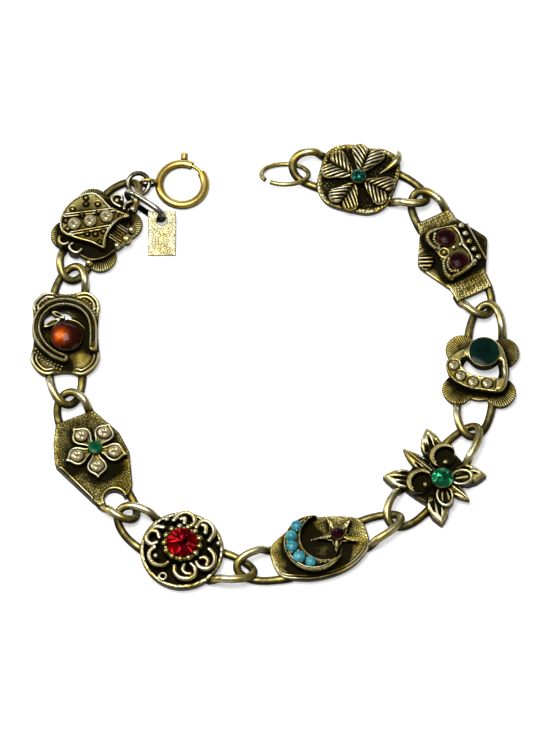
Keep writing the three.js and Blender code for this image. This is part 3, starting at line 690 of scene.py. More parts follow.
def pressed_glass(name, tones, tilt=0.35, wedges=8, roughness=0.16, coat=0.3, foil=0.85, gloss=0.5):
    """Pressed lead glass, cut or domed, with or without tin foil behind it. Each facet gets its own
    painted flash, from shade to light, in its colour, and its normal leant its own way, under a hard
    wet gloss: tones are the painted deep, lit and bright colours. cut is the place across the stone."""
    material, tree, shader = new_material(name)
    cut = add_node(tree, "ShaderNodeAttribute", attribute_name="cut").outputs["Vector"]
    place = add_node(tree, "ShaderNodeSeparateXYZ", {0: cut}).outputs
    off_middle = add_node(tree, "ShaderNodeVectorMath", {0: cut}, operation="LENGTH").outputs["Value"]
    heading = add_node(tree, "ShaderNodeMath", {0: place["Y"], 1: place["X"]}, operation="ARCTAN2")
    zone = add_node(tree, "ShaderNodeMath", {0: off_middle, 1: 0.52}, operation="GREATER_THAN")
    half_step = add_node(tree, "ShaderNodeMath", {0: zone, 1: 0.5}, operation="MULTIPLY")
    turns = add_node(
        tree, "ShaderNodeMath", {0: heading, 1: wedges / (2 * math.pi), 2: half_step},
        operation="MULTIPLY_ADD",
    )
    wedge = add_node(tree, "ShaderNodeMath", {0: turns}, operation="FLOOR")
    facet = add_node(tree, "ShaderNodeCombineXYZ", {"X": wedge, "Y": zone})
    facet_noise = add_node(tree, "ShaderNodeTexWhiteNoise", {"Vector": facet}).outputs
    # Painted light: lighter towards the stone's edge, with a painted flash of its own on each facet.
    depth = add_node(
        tree, "ShaderNodeMath", {0: off_middle, 1: 0.45, 2: -0.1}, operation="MULTIPLY_ADD",
    )
    painted_facet_light = add_node(
        tree, "ShaderNodeMath", {0: facet_noise["Value"], 1: 0.62, 2: depth}, operation="MULTIPLY_ADD",
    )
    colour = add_node(
        tree, "ShaderNodeValToRGB", {"Fac": painted_facet_light}, list(zip((0.0, 0.55, 1.0), tones)),
    )
    lean = add_node(
        tree, "ShaderNodeVectorMath",
        {0: facet_noise["Color"], 1: (2 * tilt, 2 * tilt, 0.0), 2: (-tilt, -tilt, 0.0)},
        operation="MULTIPLY_ADD",
    )
    normal = add_node(tree, "ShaderNodeNewGeometry").outputs["Normal"]
    leant = add_node(tree, "ShaderNodeVectorMath", {0: normal, 1: lean})
    facet_normal = add_node(tree, "ShaderNodeVectorMath", {0: leant}, operation="NORMALIZE")
    feed(shader, {
        "Base Color": colour, "Metallic": foil, "Roughness": roughness, "Coat Weight": coat,
        "Coat Roughness": 0.08, "Coat IOR": 1.56, "Specular IOR Level": gloss,
        "Normal": facet_normal,
    })
    return material


def with_cut(mesh, x, y, r):
    """Keeps each point's place across its stone, from -1 to 1, for the facets' pattern."""
    across = (points_of(mesh) - (x, y, 0)) / r
    across[:, 2] = 0
    return marked(mesh, "cut", "FLOAT_VECTOR", "vector", across)


def cut_stone(x, y, r, seat, girdle, top, material, sides=8, table=0.56, turn=0.0):
    """A round brilliant-topped stone: a table, star and kite facets, and a girdle."""
    corner = ring_line(x, y, table * r, turn=turn, steps=sides)
    shoulder = ring_line(x, y, 0.82 * r, turn=turn + 180 / sides, steps=sides)
    girdle_ring = ring_line(x, y, r, turn=turn, steps=2 * sides)
    shoulder_height = girdle + 0.58 * (top - girdle)
    points = [(*p, top) for p in corner] + [(*p, shoulder_height) for p in shoulder]
    points += [(*p, girdle) for p in girdle_ring] + [(*p, seat) for p in girdle_ring]
    m0, g0, s0 = sides, 2 * sides, 4 * sides
    faces = [list(range(sides)), list(range(s0 + 2 * sides - 1, s0 - 1, -1))]
    for k in range(sides):
        n, before = (k + 1) % sides, (k - 1) % sides
        g, h, i = 2 * k, 2 * k + 1, (2 * k + 2) % (2 * sides)
        faces += [
            [k, m0 + k, n], [k, m0 + before, g0 + g], [k, g0 + g, m0 + k],
            [m0 + k, g0 + g, g0 + h], [m0 + k, g0 + h, g0 + i],
            [g0 + g, s0 + g, s0 + h, g0 + h], [g0 + h, s0 + h, s0 + i, g0 + i],
        ]
    return with_cut(solid(points, faces, material, crease=0), x, y, r)


# The stem: wire forged to a thick back and two thin ends.
horn, horn_given = new_tree("horn", thickest=0.48, sides=12)
horn_share = add_node(horn, "GeometryNodeSplineParameter")
horn_late = add_node(horn, "ShaderNodeMath", {0: horn_share, 1: 1.5}, operation="POWER")
horn_angle = add_node(
    horn, "ShaderNodeMath", {0: horn_late, 1: 2.9, 2: 0.12}, operation="MULTIPLY_ADD",
)
horn_bulge = add_node(horn, "ShaderNodeMath", {0: horn_angle}, operation="SINE")
horn_size = add_node(
    horn, "ShaderNodeMath", {0: horn_bulge, 1: horn_given["Thickest"]}, operation="MULTIPLY",
)
end_in_wire(horn, horn_given, horn_size)

clover_middle = (0.15, -0.25)
clover_edge = depth_in(curve_through([
    (5.7, 2.7), (4.5, 5.0), (2.4, 5.7), (0.4, 5.3), (-0.9, 5.44), (-3.8, 4.72), (-5.6, 2.9), (-5.8, 0),
    (-5.6, -2.5), (-4.5, -4.4), (-2.7, -5.3), (0.2, -5.4), (2.9, -5.1), (4.7, -3.9), (5.6, -1.9),
]))
lobe_root, lobe_tip, vein_gap, vein_turn = 0.4, 1.25, 0.52, 52

clover_lobes = []
for leaf_turn, leaf_reach in ((86, 4.5), (163, 4.45), (252, 4.2), (347, 4.25)):
    for side in (-1, 1):
        root = around(clover_middle, 1.3, leaf_turn + side * 13)
        tip = around(clover_middle, leaf_reach, leaf_turn + side * 16.5)
        clover_lobes.append((root, tip, math.radians(leaf_turn + side * vein_turn + 90)))


def clover_ground(x, y):
    d = clover_edge(x, y)
    lip = 0.14 * (1 - ease(d, 0.5, 1.0))
    return plate_top - 0.3 + lip + 0.1 * hammered(x, y, 0.5, 3) * ease(d, 0.0, 0.2)


def lobe_depth(x, y, root, tip):
    """How far a place lies inside a leaf's lobe, which widens evenly from its root to its tip."""
    dx, dy = tip[0] - root[0], tip[1] - root[1]
    t = np.clip(((x - root[0]) * dx + (y - root[1]) * dy) / (dx * dx + dy * dy), 0, 1)
    return lobe_root + (lobe_tip - lobe_root) * t - np.hypot(x - root[0] - t * dx, y - root[1] - t * dy)


def clover_leaf_relief(x, y):
    top = np.full(np.shape(x), plate_top)
    for root, tip, vein_angle in clover_lobes:
        d = lobe_depth(x, y, root, tip)
        across = (x - root[0]) * math.cos(vein_angle) + (y - root[1]) * math.sin(vein_angle)
        veins = 1 - np.sin(math.pi * across / vein_gap) ** 4
        body = plate_top + 0.3 + 0.6 * dome(d, 1.1) + 0.3 * (veins - 0.8) * ease(d, 0.02, 0.3)
        top = np.where(d > -0.2, np.maximum(top, body), top)
    return top


clover_stem_line = curve_through(
    [(2.9, 1.5, 1.9), (4.0, 2.6, 2.25), (4.8, 3.9, 2.45), (4.85, 5.0, 2.3), (4.5, 5.7, 2.2)],
    closed=False,
)
# Sea-green lead glass on foil: bluish, with painted light in its facets.
sea_green = pressed_glass(
    "sea_green_lead_glass", ("#022c24", "#075b4a", "#1a9a78"), tilt=0.28, coat=0.2,
)
lay(place_of("clover_stone", *clover_middle, -15.4), {
    "clover_link": {
        "clover_plate": casting(
            clover_edge, clover_ground, 0.0, (-6.1, 6, -5.8, 6),
            tarnish=lambda x, y: 0.16 * ease(clover_edge(x, y), 0.4, 1.1) + 0.04,
        ),
        "clover_leaves": casting(
            lambda x, y: np.max([lobe_depth(x, y, root, tip) for root, tip, _ in clover_lobes], 0),
            clover_leaf_relief, 1.4, (-5.6, 5.8, -6, 5.6), pitch=0.08, rim=0.16, draft=0,
        ),
        "clover_loops": end_loops(clover_edge, (9.9, 2.5, -0.1, 0.0), (10.6, 2.35, 0.3, -0.9)),
        "clover_stem": grown(horn, clover_stem_line, thickest=0.58),
        "clover_setting": collar(*clover_middle, 1.05, 1.6, 3.15, wall=0.12),
    },
    "clover_stone": {"clover_gem": cut_stone(*clover_middle, 1.02, 2.7, 3.32, 3.68, sea_green)},
})


# ================================================================ the crown link
# A six-sided plate with a basket-work ground. The crown soldered on it is a pierced casting with
# roped arches and shot, and holds two nearly black garnet stones in plain collars.

# Shot: little balls soldered on single points.
shot, shot_given = new_tree("shot", ball_radius=0.3, rows=8)
shot_ball = add_node(shot, "GeometryNodeMeshUVSphere", {
    "Segments": 14, "Rings": shot_given["Rows"], "Radius": shot_given["Ball Radius"],
})
shot_set = add_node(
    shot, "GeometryNodeInstanceOnPoints", {"Points": shot_given[0], "Instance": shot_ball},
)
end_tree(shot, shot_given, shot_set)

# Milgrain: a row of tiny beads along a line, each touching the next.
milgrain, grain_given = new_tree("milgrain", bead_radius=0.16, spacing=0.33)
grain_line = add_node(milgrain, "GeometryNodeMeshToCurve", {0: grain_given[0]})
grain_points = add_node(
    milgrain, "GeometryNodeCurveToPoints", {"Curve": grain_line, "Length": grain_given["Spacing"]},
    mode="LENGTH",
)
grain_bead = add_node(milgrain, "GeometryNodeMeshUVSphere", {
    "Segments": 8, "Rings": 6, "Radius": grain_given["Bead Radius"],
})
grain_set = add_node(
    milgrain, "GeometryNodeInstanceOnPoints", {"Points": grain_points, "Instance": grain_bead},
)
end_tree(milgrain, grain_given, grain_set)


def ridge(gap, half):
    """The round back of a wire that lies along a line: 1 on the line, 0 from half away."""
    return np.sqrt(1 - np.clip(np.abs(gap) / half, 0, 1) ** 2)


def strands(gap, along, twist):
    """A rope's strands: 1 on the back of each and 0 between. twist is how far apart they are."""
    return np.abs(np.sin(math.pi * (along + 0.8 * gap) / twist))


def basket(x, y, gap):
    """Basket-work: short humps that lie along and across by turns."""
    u, v = x / gap, y / gap
    lengthwise = (np.floor(u) + np.floor(v)) % 2 > 0.5
    along = np.abs(np.sin(2 * math.pi * v)) * np.abs(np.sin(math.pi * u)) ** 0.5
    across = np.abs(np.sin(2 * math.pi * u)) * np.abs(np.sin(math.pi * v)) ** 0.5
    return np.where(lengthwise, along, across)


def dome_stone(x, y, r, seat, girdle, top, material, steps=40):
    """A round stone with a domed or nearly flat top."""
    profile = [(0, seat), (r, seat), (r, girdle)]
    for t in (0.2, 0.4, 0.6, 0.8, 0.93):
        angle = t * math.pi / 2
        profile.append((r * math.cos(angle), girdle + (top - girdle) * math.sin(angle)))
    return with_cut(turned(x, y, [*profile, (0, top)], material, steps), x, y, r)


crown_edge = depth_in([
    (7.4, 2.9), (5.0, 3.0), (0.5, 5.5), (0.1, 5.6), (-0.4, 5.5), (-4.9, 3.0), (-6.6, 2.8),
    (-6.6, -2.6), (-4.9, -2.9), (-0.6, -5.4), (-0.1, -5.5), (0.4, -5.3), (5.0, -3.0), (7.4, -2.9),
])
ribbed_tip, ribbed_reach = (-0.3, -4.4), 1.6


def crown_ground(x, y):
    d = crown_edge(x, y)
    weave = 0.12 * basket(x, y, 0.5) * ease(d, 0.1, 0.3) * ease(np.abs(x + 0.1), 3.6, 4.6)
    tip_x, tip_y = x - ribbed_tip[0], y - ribbed_tip[1]
    ribs = np.abs(np.cos(math.pi * (tip_x * 0.91 - tip_y * 0.42) / 0.62))
    near_tip = ease(ribbed_reach - np.hypot(tip_x * 1.15, tip_y), 0, 0.3)
    web = 0.1 * ridge(np.maximum(np.abs(x + 2.3) % 0.4 - 0.2, 0), 0.15)
    web = web * ease(-y, 2.6, 3.0) * ease(-x, 1.2, 1.6)
    ribbed = (0.1 + 0.5 * ribs) * near_tip * ease(d, 0.0, 0.2)
    return plate_top - 0.25 + weave + web * (1 - near_tip) + ribbed


def crown_tarnish(x, y):
    return 0.30 * (1 - ease(np.abs(x + 0.1), 4.0, 4.9)) + 0.02 - 0.3 * ease(-y, 3.0, 4.0)


crown_cap_edge = depth_in(curve_through([
    (-4.0, -0.3), (-3.5, 1.6), (-3.2, 2.35), (-1.7, 2.1), (-0.1, 2.3), (1.6, 2.1), (3.3, 2.45),
    (3.8, 1.4), (4.25, -0.6), (4.4, -2.2), (3.3, -2.9), (1.7, -2.6), (0.1, -2.15), (-1.5, -2.6),
    (-3.1, -2.9), (-4.3, -2.0),
], steps=6))
crown_bar = [(-3.3, 2.1), (-3.75, 0.8), (-3.95, -0.6)]
crown_ropes = [
    [(3.1, 2.1), (3.6, 0.9), (3.95, -0.6), (4.0, -1.8)],
    [(-3.9, -0.9), (-3.8, -2.0), (-2.8, -2.5), (-1.5, -2.2), (-0.9, -1.6)],
    [(0.9, -1.6), (1.6, -2.2), (2.9, -2.55), (3.8, -2.3)],
    [(1.2, -1.2), (2.0, -1.75), (3.0, -1.7), (3.5, -0.9)],
    [(-3.3, -1.2), (-2.4, -1.75), (-1.4, -1.5)],
]


def crown_cap_relief(x, y):
    top = plate_top + 0.72 + 0.1 * hammered(x, y, 0.5, 7)
    top = np.maximum(top, plate_top + 0.75 + 0.35 * ridge(off_line(x, y, crown_bar)[0], 0.26))
    for line in crown_ropes:
        gap, along = off_line(x, y, curve_through(line, closed=False, steps=6))
        rope = (0.3 + 0.2 * strands(gap, along, 0.42)) * ridge(gap, 0.32)
        top = np.maximum(top, plate_top + 0.75 + rope)
    arches = y - 1.95 + 0.18 * np.cos(2 * math.pi * x / 3.4)
    return np.maximum(top, plate_top + 0.8 + 0.3 * ridge(arches, 0.25))


crown_knobs = [(-2.9, 2.85), (-1.5, 2.8), (-0.1, 2.75), (1.3, 2.8), (2.7, 2.85)]
crown_garnets = (-2.0, 2.2)
crown_place = place_of("crown_garnet_1", crown_garnets[0], 0, -63.7)
# Garnet glass: flat-backed and so dark that it looks nearly black.
garnet = pressed_glass(
    "garnet_glass", ("#0e0203", "#22060b", "#400c15"), tilt=0.08, roughness=0.14, coat=0.0,
    foil=0.0, gloss=0.07,
)
left_garnet, right_garnet = [
    dome_stone(x, 0, 1.32, 2.5, 3.05, 3.45, garnet) for x in crown_garnets
]
lay(crown_place, {
    "crown_link": {
        "crown_plate": casting(
            crown_edge, crown_ground, 0.0, (-6.9, 7.7, -5.8, 5.9), rim=0.12, tarnish=crown_tarnish,
        ),
        "crown_cap": casting(
            crown_cap_edge, crown_cap_relief, 1.5, (-4.6, 4.7, -3.2, 2.8), pitch=0.07, draft=0,
            tarnish=lambda x, y: 0.05,
        ),
        "crown_loops": end_loops(crown_edge, (11.0, 2.4, 0.1, -0.5), (11.1, 2.4, 0.0, -0.2)),
        "crown_milgrain": grown(milgrain, [(-3.1, 3.95), (3.1, 3.9)], height=1.85, bead_radius=0.2),
        "crown_collars": joined(*[collar(x, 0, 1.34, 2.0, 2.98, wall=0.1) for x in crown_garnets]),
    },
    "crown_garnet_1": {"crown_left_garnet": left_garnet},
    "crown_garnet_2": {"crown_right_garnet": right_garnet},
})
crown_shot = joined(
    grown(shot, crown_knobs, height=2.5, ball_radius=0.44),
    grown(shot, [(-0.1, 1.35), (-0.1, 0.3), (0, -1.35)], height=2.85, ball_radius=0.36),
    grown(
        round_wire, ring_line(0, -1.35, 0.72), height=2.75, closed=True, wire_radius=0.2, sides=10,
    ),
)
lay(crown_place, {"crown_link": {"crown_shot": crown_shot}}, tarnish=-0.08)


# ================================================================ the heart link
# An open plate of four ribbed lobes carries a cast heart, pierced through the middle. Its round
# bar sweeps into a flat band set with four rhinestones, and a large flat green stone fills one side.

thin_plate_top = 1.5


def round_depth(x, y, cx, cy, rx, ry=None, turn=0.0):
    """How far a place lies inside a circle, or nearly so inside an oval."""
    ry = ry or rx
    u, v = swung(x - cx, y - cy, -turn)
    return (1 - np.sqrt((u / rx) ** 2 + (v / ry) ** 2)) * min(rx, ry)


def depth_in_any(ovals):
    """A function that gives how far a place lies inside one or other of several ovals."""
    return lambda x, y: np.max([round_depth(x, y, *oval) for oval in ovals], 0)


def from_middle(x, y, middle):
    return np.hypot(x - middle[0], y - middle[1])


def lobe_corners(middle):
    return [(middle + right * 3.2, up * 3.1) for right in (-1, 1) for up in (-1, 1)]


def lobed_edge(middle):
    """A function that gives how far a place lies inside the four-lobed outline."""
    lobes = [(*corner, 2.42, 2.32) for corner in lobe_corners(middle)]
    return depth_in_any([*lobes, (middle, 0, 4.75, 4.2)])


def ribbed_plate(middle, open_radius=-9.0):
    """The four-lobed plate under the heart and the shield, its lobes cut with fine ribs like a fan's.
    It is open in the middle where open_radius is above zero."""
    corners, outline = lobe_corners(middle), lobed_edge(middle)

    def edge(x, y):
        return np.minimum(outline(x, y), np.hypot(x - middle, y) - open_radius)

    def ground(x, y):
        floor = thin_plate_top - 0.2
        top = np.full(np.shape(x), floor)
        for corner in corners:
            far = from_middle(x, y, corner)
            fan = (middle + 0.45 * (corner[0] - middle), 0.45 * corner[1])
            ribs = np.cos(40 * np.arctan2(y - fan[1], x - fan[0])) ** 2
            cut = floor + 0.16 * dome(2.4 - far, 1.6)
            cut = cut + 0.11 * (ribs - 0.5) * ease(from_middle(x, y, fan), 1.0, 2.4)
            top = np.where(far < 2.5, np.maximum(top, cut), top)
        return top

    return casting(
        edge, ground, 0.0, (middle - 6, middle + 6, -5.8, 5.8), pitch=0.07,
        tarnish=lambda x, y: 0.06 + 0.3 * (1 - ease(np.hypot(x - middle, y), 3.2, 4.4)),
    )


def numbered(node, name, meshes):
    """Like stones in a row, each a piece of its own for the CAD node of the same number."""
    return {f"{node}_{k}": {f"{name}_{k}": mesh} for k, mesh in enumerate(meshes, 1)}


heart_across = 0.3  # how far the plate's middle is from the link's
heart_outer = depth_in(curve_through([
    (4.0, 3.3), (4.05, 0.5), (3.6, -2.3), (2.1, -4.5), (0.0, -5.1), (-1.5, -4.0), (-2.6, -2.4),
    (-4.3, 0.9), (-3.3, 2.8), (-0.5, 3.9), (2.2, 4.1),
], steps=8))
heart_window = depth_in(curve_through([
    (1.75, 2.9), (1.8, 0.3), (1.45, -1.6), (0.1, -2.9), (-1.0, -2.5), (0.35, 0.3), (-0.7, 2.6),
    (0.5, 3.0),
], steps=8))
heart_gem_at = (-1.95, 0.3)
heart_rhinestones = [(2.9, 1.15), (2.85, -0.95), (2.05, -2.85), (0.4, -3.95)]


def heart_edge(x, y):
    return np.minimum(heart_outer(x, y), -heart_window(x, y))


def heart_relief(x, y):
    d = heart_edge(x, y)
    band = ease(from_middle(x, y, heart_gem_at), 2.6, 3.1) * (1 - ease(y, 2.3, 2.6))
    bar = 2.35 + 0.8 * dome(d, 0.6)
    flat = 2.9 + 0.05 * ridge(d - 0.16, 0.16)
    for stone in heart_rhinestones:
        flat = flat - 0.09 * ridge(from_middle(x, y, stone) - 0.86, 0.1)
    return bar * (1 - band) + flat * band


# Bottle-green glass: flat, opaque and almost black.
bottle_green = pressed_glass(
    "bottle_green_glass", ("#02120e", "#041e18", "#062a22"), tilt=0.03, wedges=6, roughness=0.12,
    coat=0.0, foil=0.0, gloss=0.1,
)
# Clear lead glass on foil: a warm silver.
rhinestone = pressed_glass(
    "rhinestone_lead_glass", ("#5e5736", "#b6ab80", "#ece2bc"), tilt=0.12, coat=0.2, foil=0.45,
)
lay(place_of("heart_stone", *heart_gem_at, -94.7), {
    "heart_link": {
        "heart_plate": ribbed_plate(heart_across, open_radius=2.65),
        "heart_frame": casting(
            heart_edge, heart_relief, 1.2, (-4.8, 4.5, -5.5, 4.6), pitch=0.08, draft=0.2,
            tarnish=lambda x, y: 0.09,
        ),
        "heart_loops": end_loops(
            lobed_edge(heart_across), (10.4, 2.5, 0.25, -0.2), (11.0, 2.55, -0.45, -0.3),
        ),
        "heart_collars": joined(
            collar(*heart_gem_at, 2.2, 2.0, 3.25, wall=0.24, steps=56),
            *[collar(x, y, 0.7, 2.6, 2.98, wall=0.08, steps=24) for x, y in heart_rhinestones],
        ),
    },
    "heart_stone": {
        "heart_gem": dome_stone(*heart_gem_at, 2.17, 2.4, 3.32, 3.48, bottle_green, steps=56),
    },
    **numbered("heart_rhinestone", "heart_crystal", [
        cut_stone(x, y, 0.68, 2.7, 2.98, 3.14, rhinestone) for x, y in heart_rhinestones
    ]),
})


# ================================================================ the orchid link
# Four ribbed leaves and two long sepals, cast with the plate behind them. Two hollow cups with
# beaded lips and two hooded petals stand round a large green stone.

def leaf_parts(x, y, root, tip, width):
    """How far a place lies inside a pointed leaf, how far from its midrib, and how far along it."""
    dx, dy = tip[0] - root[0], tip[1] - root[1]
    length = math.hypot(dx, dy)
    ux, uy = dx / length, dy / length
    outline = [
        (root[0] + ux * a * length - uy * b * width, root[1] + uy * a * length + ux * b * width)
        for a, b in (
            (0, 0.35), (0, -0.35), (0.25, -0.46), (0.45, -0.49), (0.7, -0.36), (0.88, -0.17), (1, 0),
            (0.88, 0.17), (0.7, 0.36), (0.45, 0.49), (0.25, 0.46),
        )
    ]
    across = (y - root[1]) * ux - (x - root[0]) * uy
    share = ((x - root[0]) * ux + (y - root[1]) * uy) / length
    return depth_in(outline)(x, y), across, share


def leaf_relief(x, y, root, tip, width, foot, rise, notches=(-0.2, 0.02, 0.22), midrib=0.0):
    """A cast leaf: rounded, with wedges cut in it behind a smooth tip, and maybe a midrib."""
    d, across, share = leaf_parts(x, y, root, tip, width)
    cuts = sum(
        ease(0.02 + 0.13 * (1 - share) - np.abs(across / width - where * (1.3 - 0.5 * share)), 0, 0.04)
        * ease(share, 0.15, 0.35)
        * (1 - ease(share, 0.5 - 0.8 * abs(where), 0.85 - 1.1 * abs(where)))
        for where in notches
    )
    body = foot + rise * dome(d, 0.8) - 0.5 * cuts + midrib * ridge(across, 0.2)
    return np.where(d > -0.2, body + 0.03 * ridge(d - 0.14, 0.14), 0)


orchid_leaves = [
    ((-2.0, 1.4), (-4.9, 5.1), 3.4), ((2.3, 1.4), (5.4, 5.1), 3.4),
    ((-2.2, -2.4), (-5.2, -6.5), 3.3), ((2.4, -2.4), (4.9, -6.5), 3.3),
]
orchid_sepals = [((0.0, 1.0), (0.0, 5.9), 1.9), ((0.0, -1.0), (-0.2, -6.8), 2.2)]
orchid_body = depth_in(curve_through([
    (4.0, 1.9), (2.0, 3.2), (-2.0, 3.2), (-4.1, 1.8), (-4.6, -2.9), (-2.2, -4.0), (2.4, -4.0),
    (4.3, -3.3),
], steps=6))
orchid_cups = [(-2.9, -1.6), (2.4, -1.6)]
cup_lip_off = 0.42  # how far up a cup its hollow and its beaded lip are centred
cup_edge = depth_in_any([(x, y, 2.0, 1.8) for x, y in orchid_cups])
cup_hollow = depth_in_any([(x, y + cup_lip_off, 1.6, 1.5) for x, y in orchid_cups])
hood_edge = depth_in_any([(-2.0, 2.75, 1.75, 1.3, 141), (1.85, 2.75, 1.75, 1.3, 49)])
orchid_gem_at = (0.25, 0.95)


def orchid_edge(x, y):
    return np.max([orchid_body(x, y), *[leaf_parts(x, y, *leaf)[0] for leaf in orchid_leaves]], 0)


def orchid_relief(x, y):
    leaves = [leaf_relief(x, y, *leaf, 1.35, 0.65) for leaf in orchid_leaves]
    return np.max([np.full(np.shape(x), 1.45), *leaves], 0)


def orchid_tarnish(x, y):
    return 0.26 * (1 - ease(np.hypot(x, y), 3.6, 5.4)) - 0.08 * ease(np.hypot(x, y), 5.0, 6.0)


def sepal_edge(x, y):
    return np.max([leaf_parts(x, y, *leaf)[0] for leaf in orchid_sepals], 0)


def sepal_relief(x, y):
    return np.max([leaf_relief(x, y, *leaf, 1.9, 0.45, (-0.24, 0.24), 0.3) for leaf in orchid_sepals], 0)


def cup_relief(x, y):
    return 2.0 + 0.8 * (1 - ease(cup_hollow(x, y), -0.15, 0.3)) * (1 - 0.7 * ease(y, -1.3, -0.4))


def hood_relief(x, y):
    d = hood_edge(x, y)
    ribs = np.cos(9 * np.arctan2(y - orchid_gem_at[1], x - orchid_gem_at[0])) ** 2
    return 2.2 + 0.4 * ridge(d - 0.2, 0.26) + 0.3 * ribs * ease(d, 0.4, 0.6)


orchid_lips = [
    ring_line(x, y + cup_lip_off, 1.66, 1.58, start=195, end=345, steps=30) for x, y in orchid_cups
]
# Emerald-green lead glass on foil.
emerald = pressed_glass(
    "emerald_lead_glass", ("#033a24", "#0a7c4c", "#2bc078"), tilt=0.28, coat=0.2,
)
lay(place_of("orchid_stone", 0.2, 0.9, -129.4), {
    "orchid_link": {
        "orchid_leaves": casting(
            orchid_edge, orchid_relief, 0.0, (-5.6, 6.0, -7.0, 5.6), draft=0.08,
            tarnish=orchid_tarnish,
        ),
        "orchid_sepals": casting(
            sepal_edge, sepal_relief, 1.1, (-1.4, 1.4, -7.0, 6.1), pitch=0.08, rim=0.1, draft=0,
        ),
        "orchid_cups": casting(
            cup_edge, cup_relief, 1.2, (-5.1, 4.7, -3.6, 0.6), pitch=0.08, rim=0.06, draft=0,
            tarnish=lambda x, y: 0.16 + 0.4 * ease(cup_hollow(x, y), -0.05, 0.25),
        ),
        "orchid_curls": casting(
            hood_edge, hood_relief, 1.2, (-3.9, 3.7, 0.8, 4.6), pitch=0.07, rim=0.06, draft=0,
            tarnish=lambda x, y: 0.14 * ease(hood_edge(x, y), 0.3, 0.5),
        ),
        "orchid_beads": joined(
            grown(milgrain, *orchid_lips, height=2.8, bead_radius=0.19, spacing=0.34),
            grown(
                milgrain, [(0.0, -1.3), (-0.15, -5.6)], height=2.55, bead_radius=0.17, spacing=0.32,
            ),
            grown(shot, [(-2.15, -0.4), (2.5, -0.4)], height=2.9, ball_radius=0.42),
        ),
        "orchid_loops": end_loops(orchid_edge, (9.9, 2.2, -0.6, -0.3), (10.0, 2.6, -0.7, -0.1)),
        "orchid_collar": collar(*orchid_gem_at, 1.54, 1.2, 3.45, wall=0.1),
    },
    "orchid_stone": {
        "orchid_gem": cut_stone(*orchid_gem_at, 1.54, 2.9, 3.6, 4.06, emerald, sides=10, turn=8),
    },
})


# ================================================================ the crescent link
# An oval plate with a hammered ground and a ridged rim. A crescent moon, milgrained at both
# edges, holds five turquoise glass domes, and a five-pointed star in its arms holds a garnet.

crescent_edge = depth_in(curve_through([
    (7.5, 1.9), (5.2, 3.6), (2.5, 4.6), (-0.8, 4.9), (-3.8, 4.3), (-6.3, 2.6), (-7.0, 0), (-6.6, -2.2),
    (-3.2, -4.0), (0.8, -5.0), (4.6, -4.0), (7.3, -2.3),
], steps=6))
moon_middle, moon_radius = (1.15, -0.45), 4.4
bite_middle, bite_radius = (-0.75, -0.7), 3.6
star_middle, star_turn, star_tip, star_notch = (-2.65, -0.6), -8, 3.1, 1.25


def moon_floor(x, y):
    """1 on the bare ground between the moon's arms."""
    return ease(bite_radius - from_middle(x, y, bite_middle), 0, 0.5) * ease(x + 0.35 * y, -1.9, -0.6)


def crescent_ground(x, y):
    d = crescent_edge(x, y)
    lines = ridge(d - 0.2, 0.2) + ridge(d - 0.62, 0.18)
    rim_share = ease(y, 1.2, 2.6)
    blows = 0.045 * hammered(x, y, 0.38, 5) + 0.035 * hammered(x, y, 0.25, 6)
    blows = blows * (1 - moon_floor(x, y)) * (1 - rim_share * (d < 0.85))
    return plate_top - 0.25 + 0.22 * lines * rim_share + blows * ease(d, 0.0, 0.2)


def crescent_tarnish_and_shade(x, y):
    # Painted shade in the hollow between the moon's arms, darker towards its lower side, and in a strip
    # along the moon's outer edge, over a little oxide everywhere.
    hollow_shade = (0.16 + 0.36 * ease(-y, -0.2, 1.4)) * moon_floor(x, y)
    behind = 0.26 * ease(1.0 - np.abs(from_middle(x, y, moon_middle) - 4.9), 0, 0.5) * ease(y, 0.4, 1.6)
    return np.maximum(hollow_shade, behind) + 0.04


def moon_sides(x, y):
    """How far a place lies inside the moon's outer edge, and outside its inner one."""
    return moon_radius - from_middle(x, y, moon_middle), from_middle(x, y, bite_middle) - bite_radius


def moon_edge(x, y):
    return np.minimum(*moon_sides(x, y))


def moon_relief(x, y):
    outer, inner = moon_sides(x, y)
    lines = ridge(outer - 0.16, 0.16) + 0.8 * ridge(outer - 0.5, 0.14)
    return 2.75 + 0.3 * np.maximum(lines, 0.6 * ridge(inner - 0.18, 0.2))


star_edge = depth_in([
    around(star_middle, star_notch if k % 2 else star_tip, star_turn + 36 * k) for k in range(10)
])


def star_relief(x, y):
    d = star_edge(x, y)
    arms = np.min([
        off_line(x, y, [star_middle, around(star_middle, star_tip, star_turn + 72 * k)])[0]
        for k in range(5)
    ], 0)
    return 2.1 + 0.4 * ridge(arms, 0.35) + 0.16 * ridge(d - 0.1, 0.15)


moon_inner = ring_line(*bite_middle, bite_radius + 0.17, start=-72, end=72, steps=60)
moon_outer = ring_line(*moon_middle, moon_radius - 0.16, start=-112, end=122, steps=80)
star_rows = [
    [around(star_middle, reach, star_turn) for reach in (1.4, 3.9)],
    [around(star_middle, reach, star_turn + 144) for reach in (1.3, 3.0)],
]
moon_shot = [
    (0.2, 3.0), (0.8, 3.05), (1.45, 2.9), (3.9, 1.7), (3.0, 1.5), (3.75, -0.1), (4.75, -0.2),
    (4.7, -2.0), (2.75, -3.1), (1.6, -4.2), (0.85, -4.45), (0.3, -4.35),
]

# Turquoise glass: opaque, pressed, with a wet shine and paler and darker clouds 1 mm across.
turquoise, turquoise_tree, turquoise_shader = new_material("turquoise_glass")
turquoise_place = add_node(turquoise_tree, "ShaderNodeTexCoord").outputs["Object"]
turquoise_clouds = add_node(
    turquoise_tree, "ShaderNodeTexNoise", {"Vector": turquoise_place, "Scale": 900.0, "Detail": 3.0},
)
turquoise_tones = add_node(
    turquoise_tree, "ShaderNodeValToRGB", {"Fac": turquoise_clouds},
    [(0.35, "#1c7484"), (0.68, "#48a8b2")],
)
feed(turquoise_shader, {
    "Base Color": turquoise_tones, "Roughness": 0.3, "IOR": 1.52, "Coat Weight": 0.1,
    "Coat Roughness": 0.2,
})

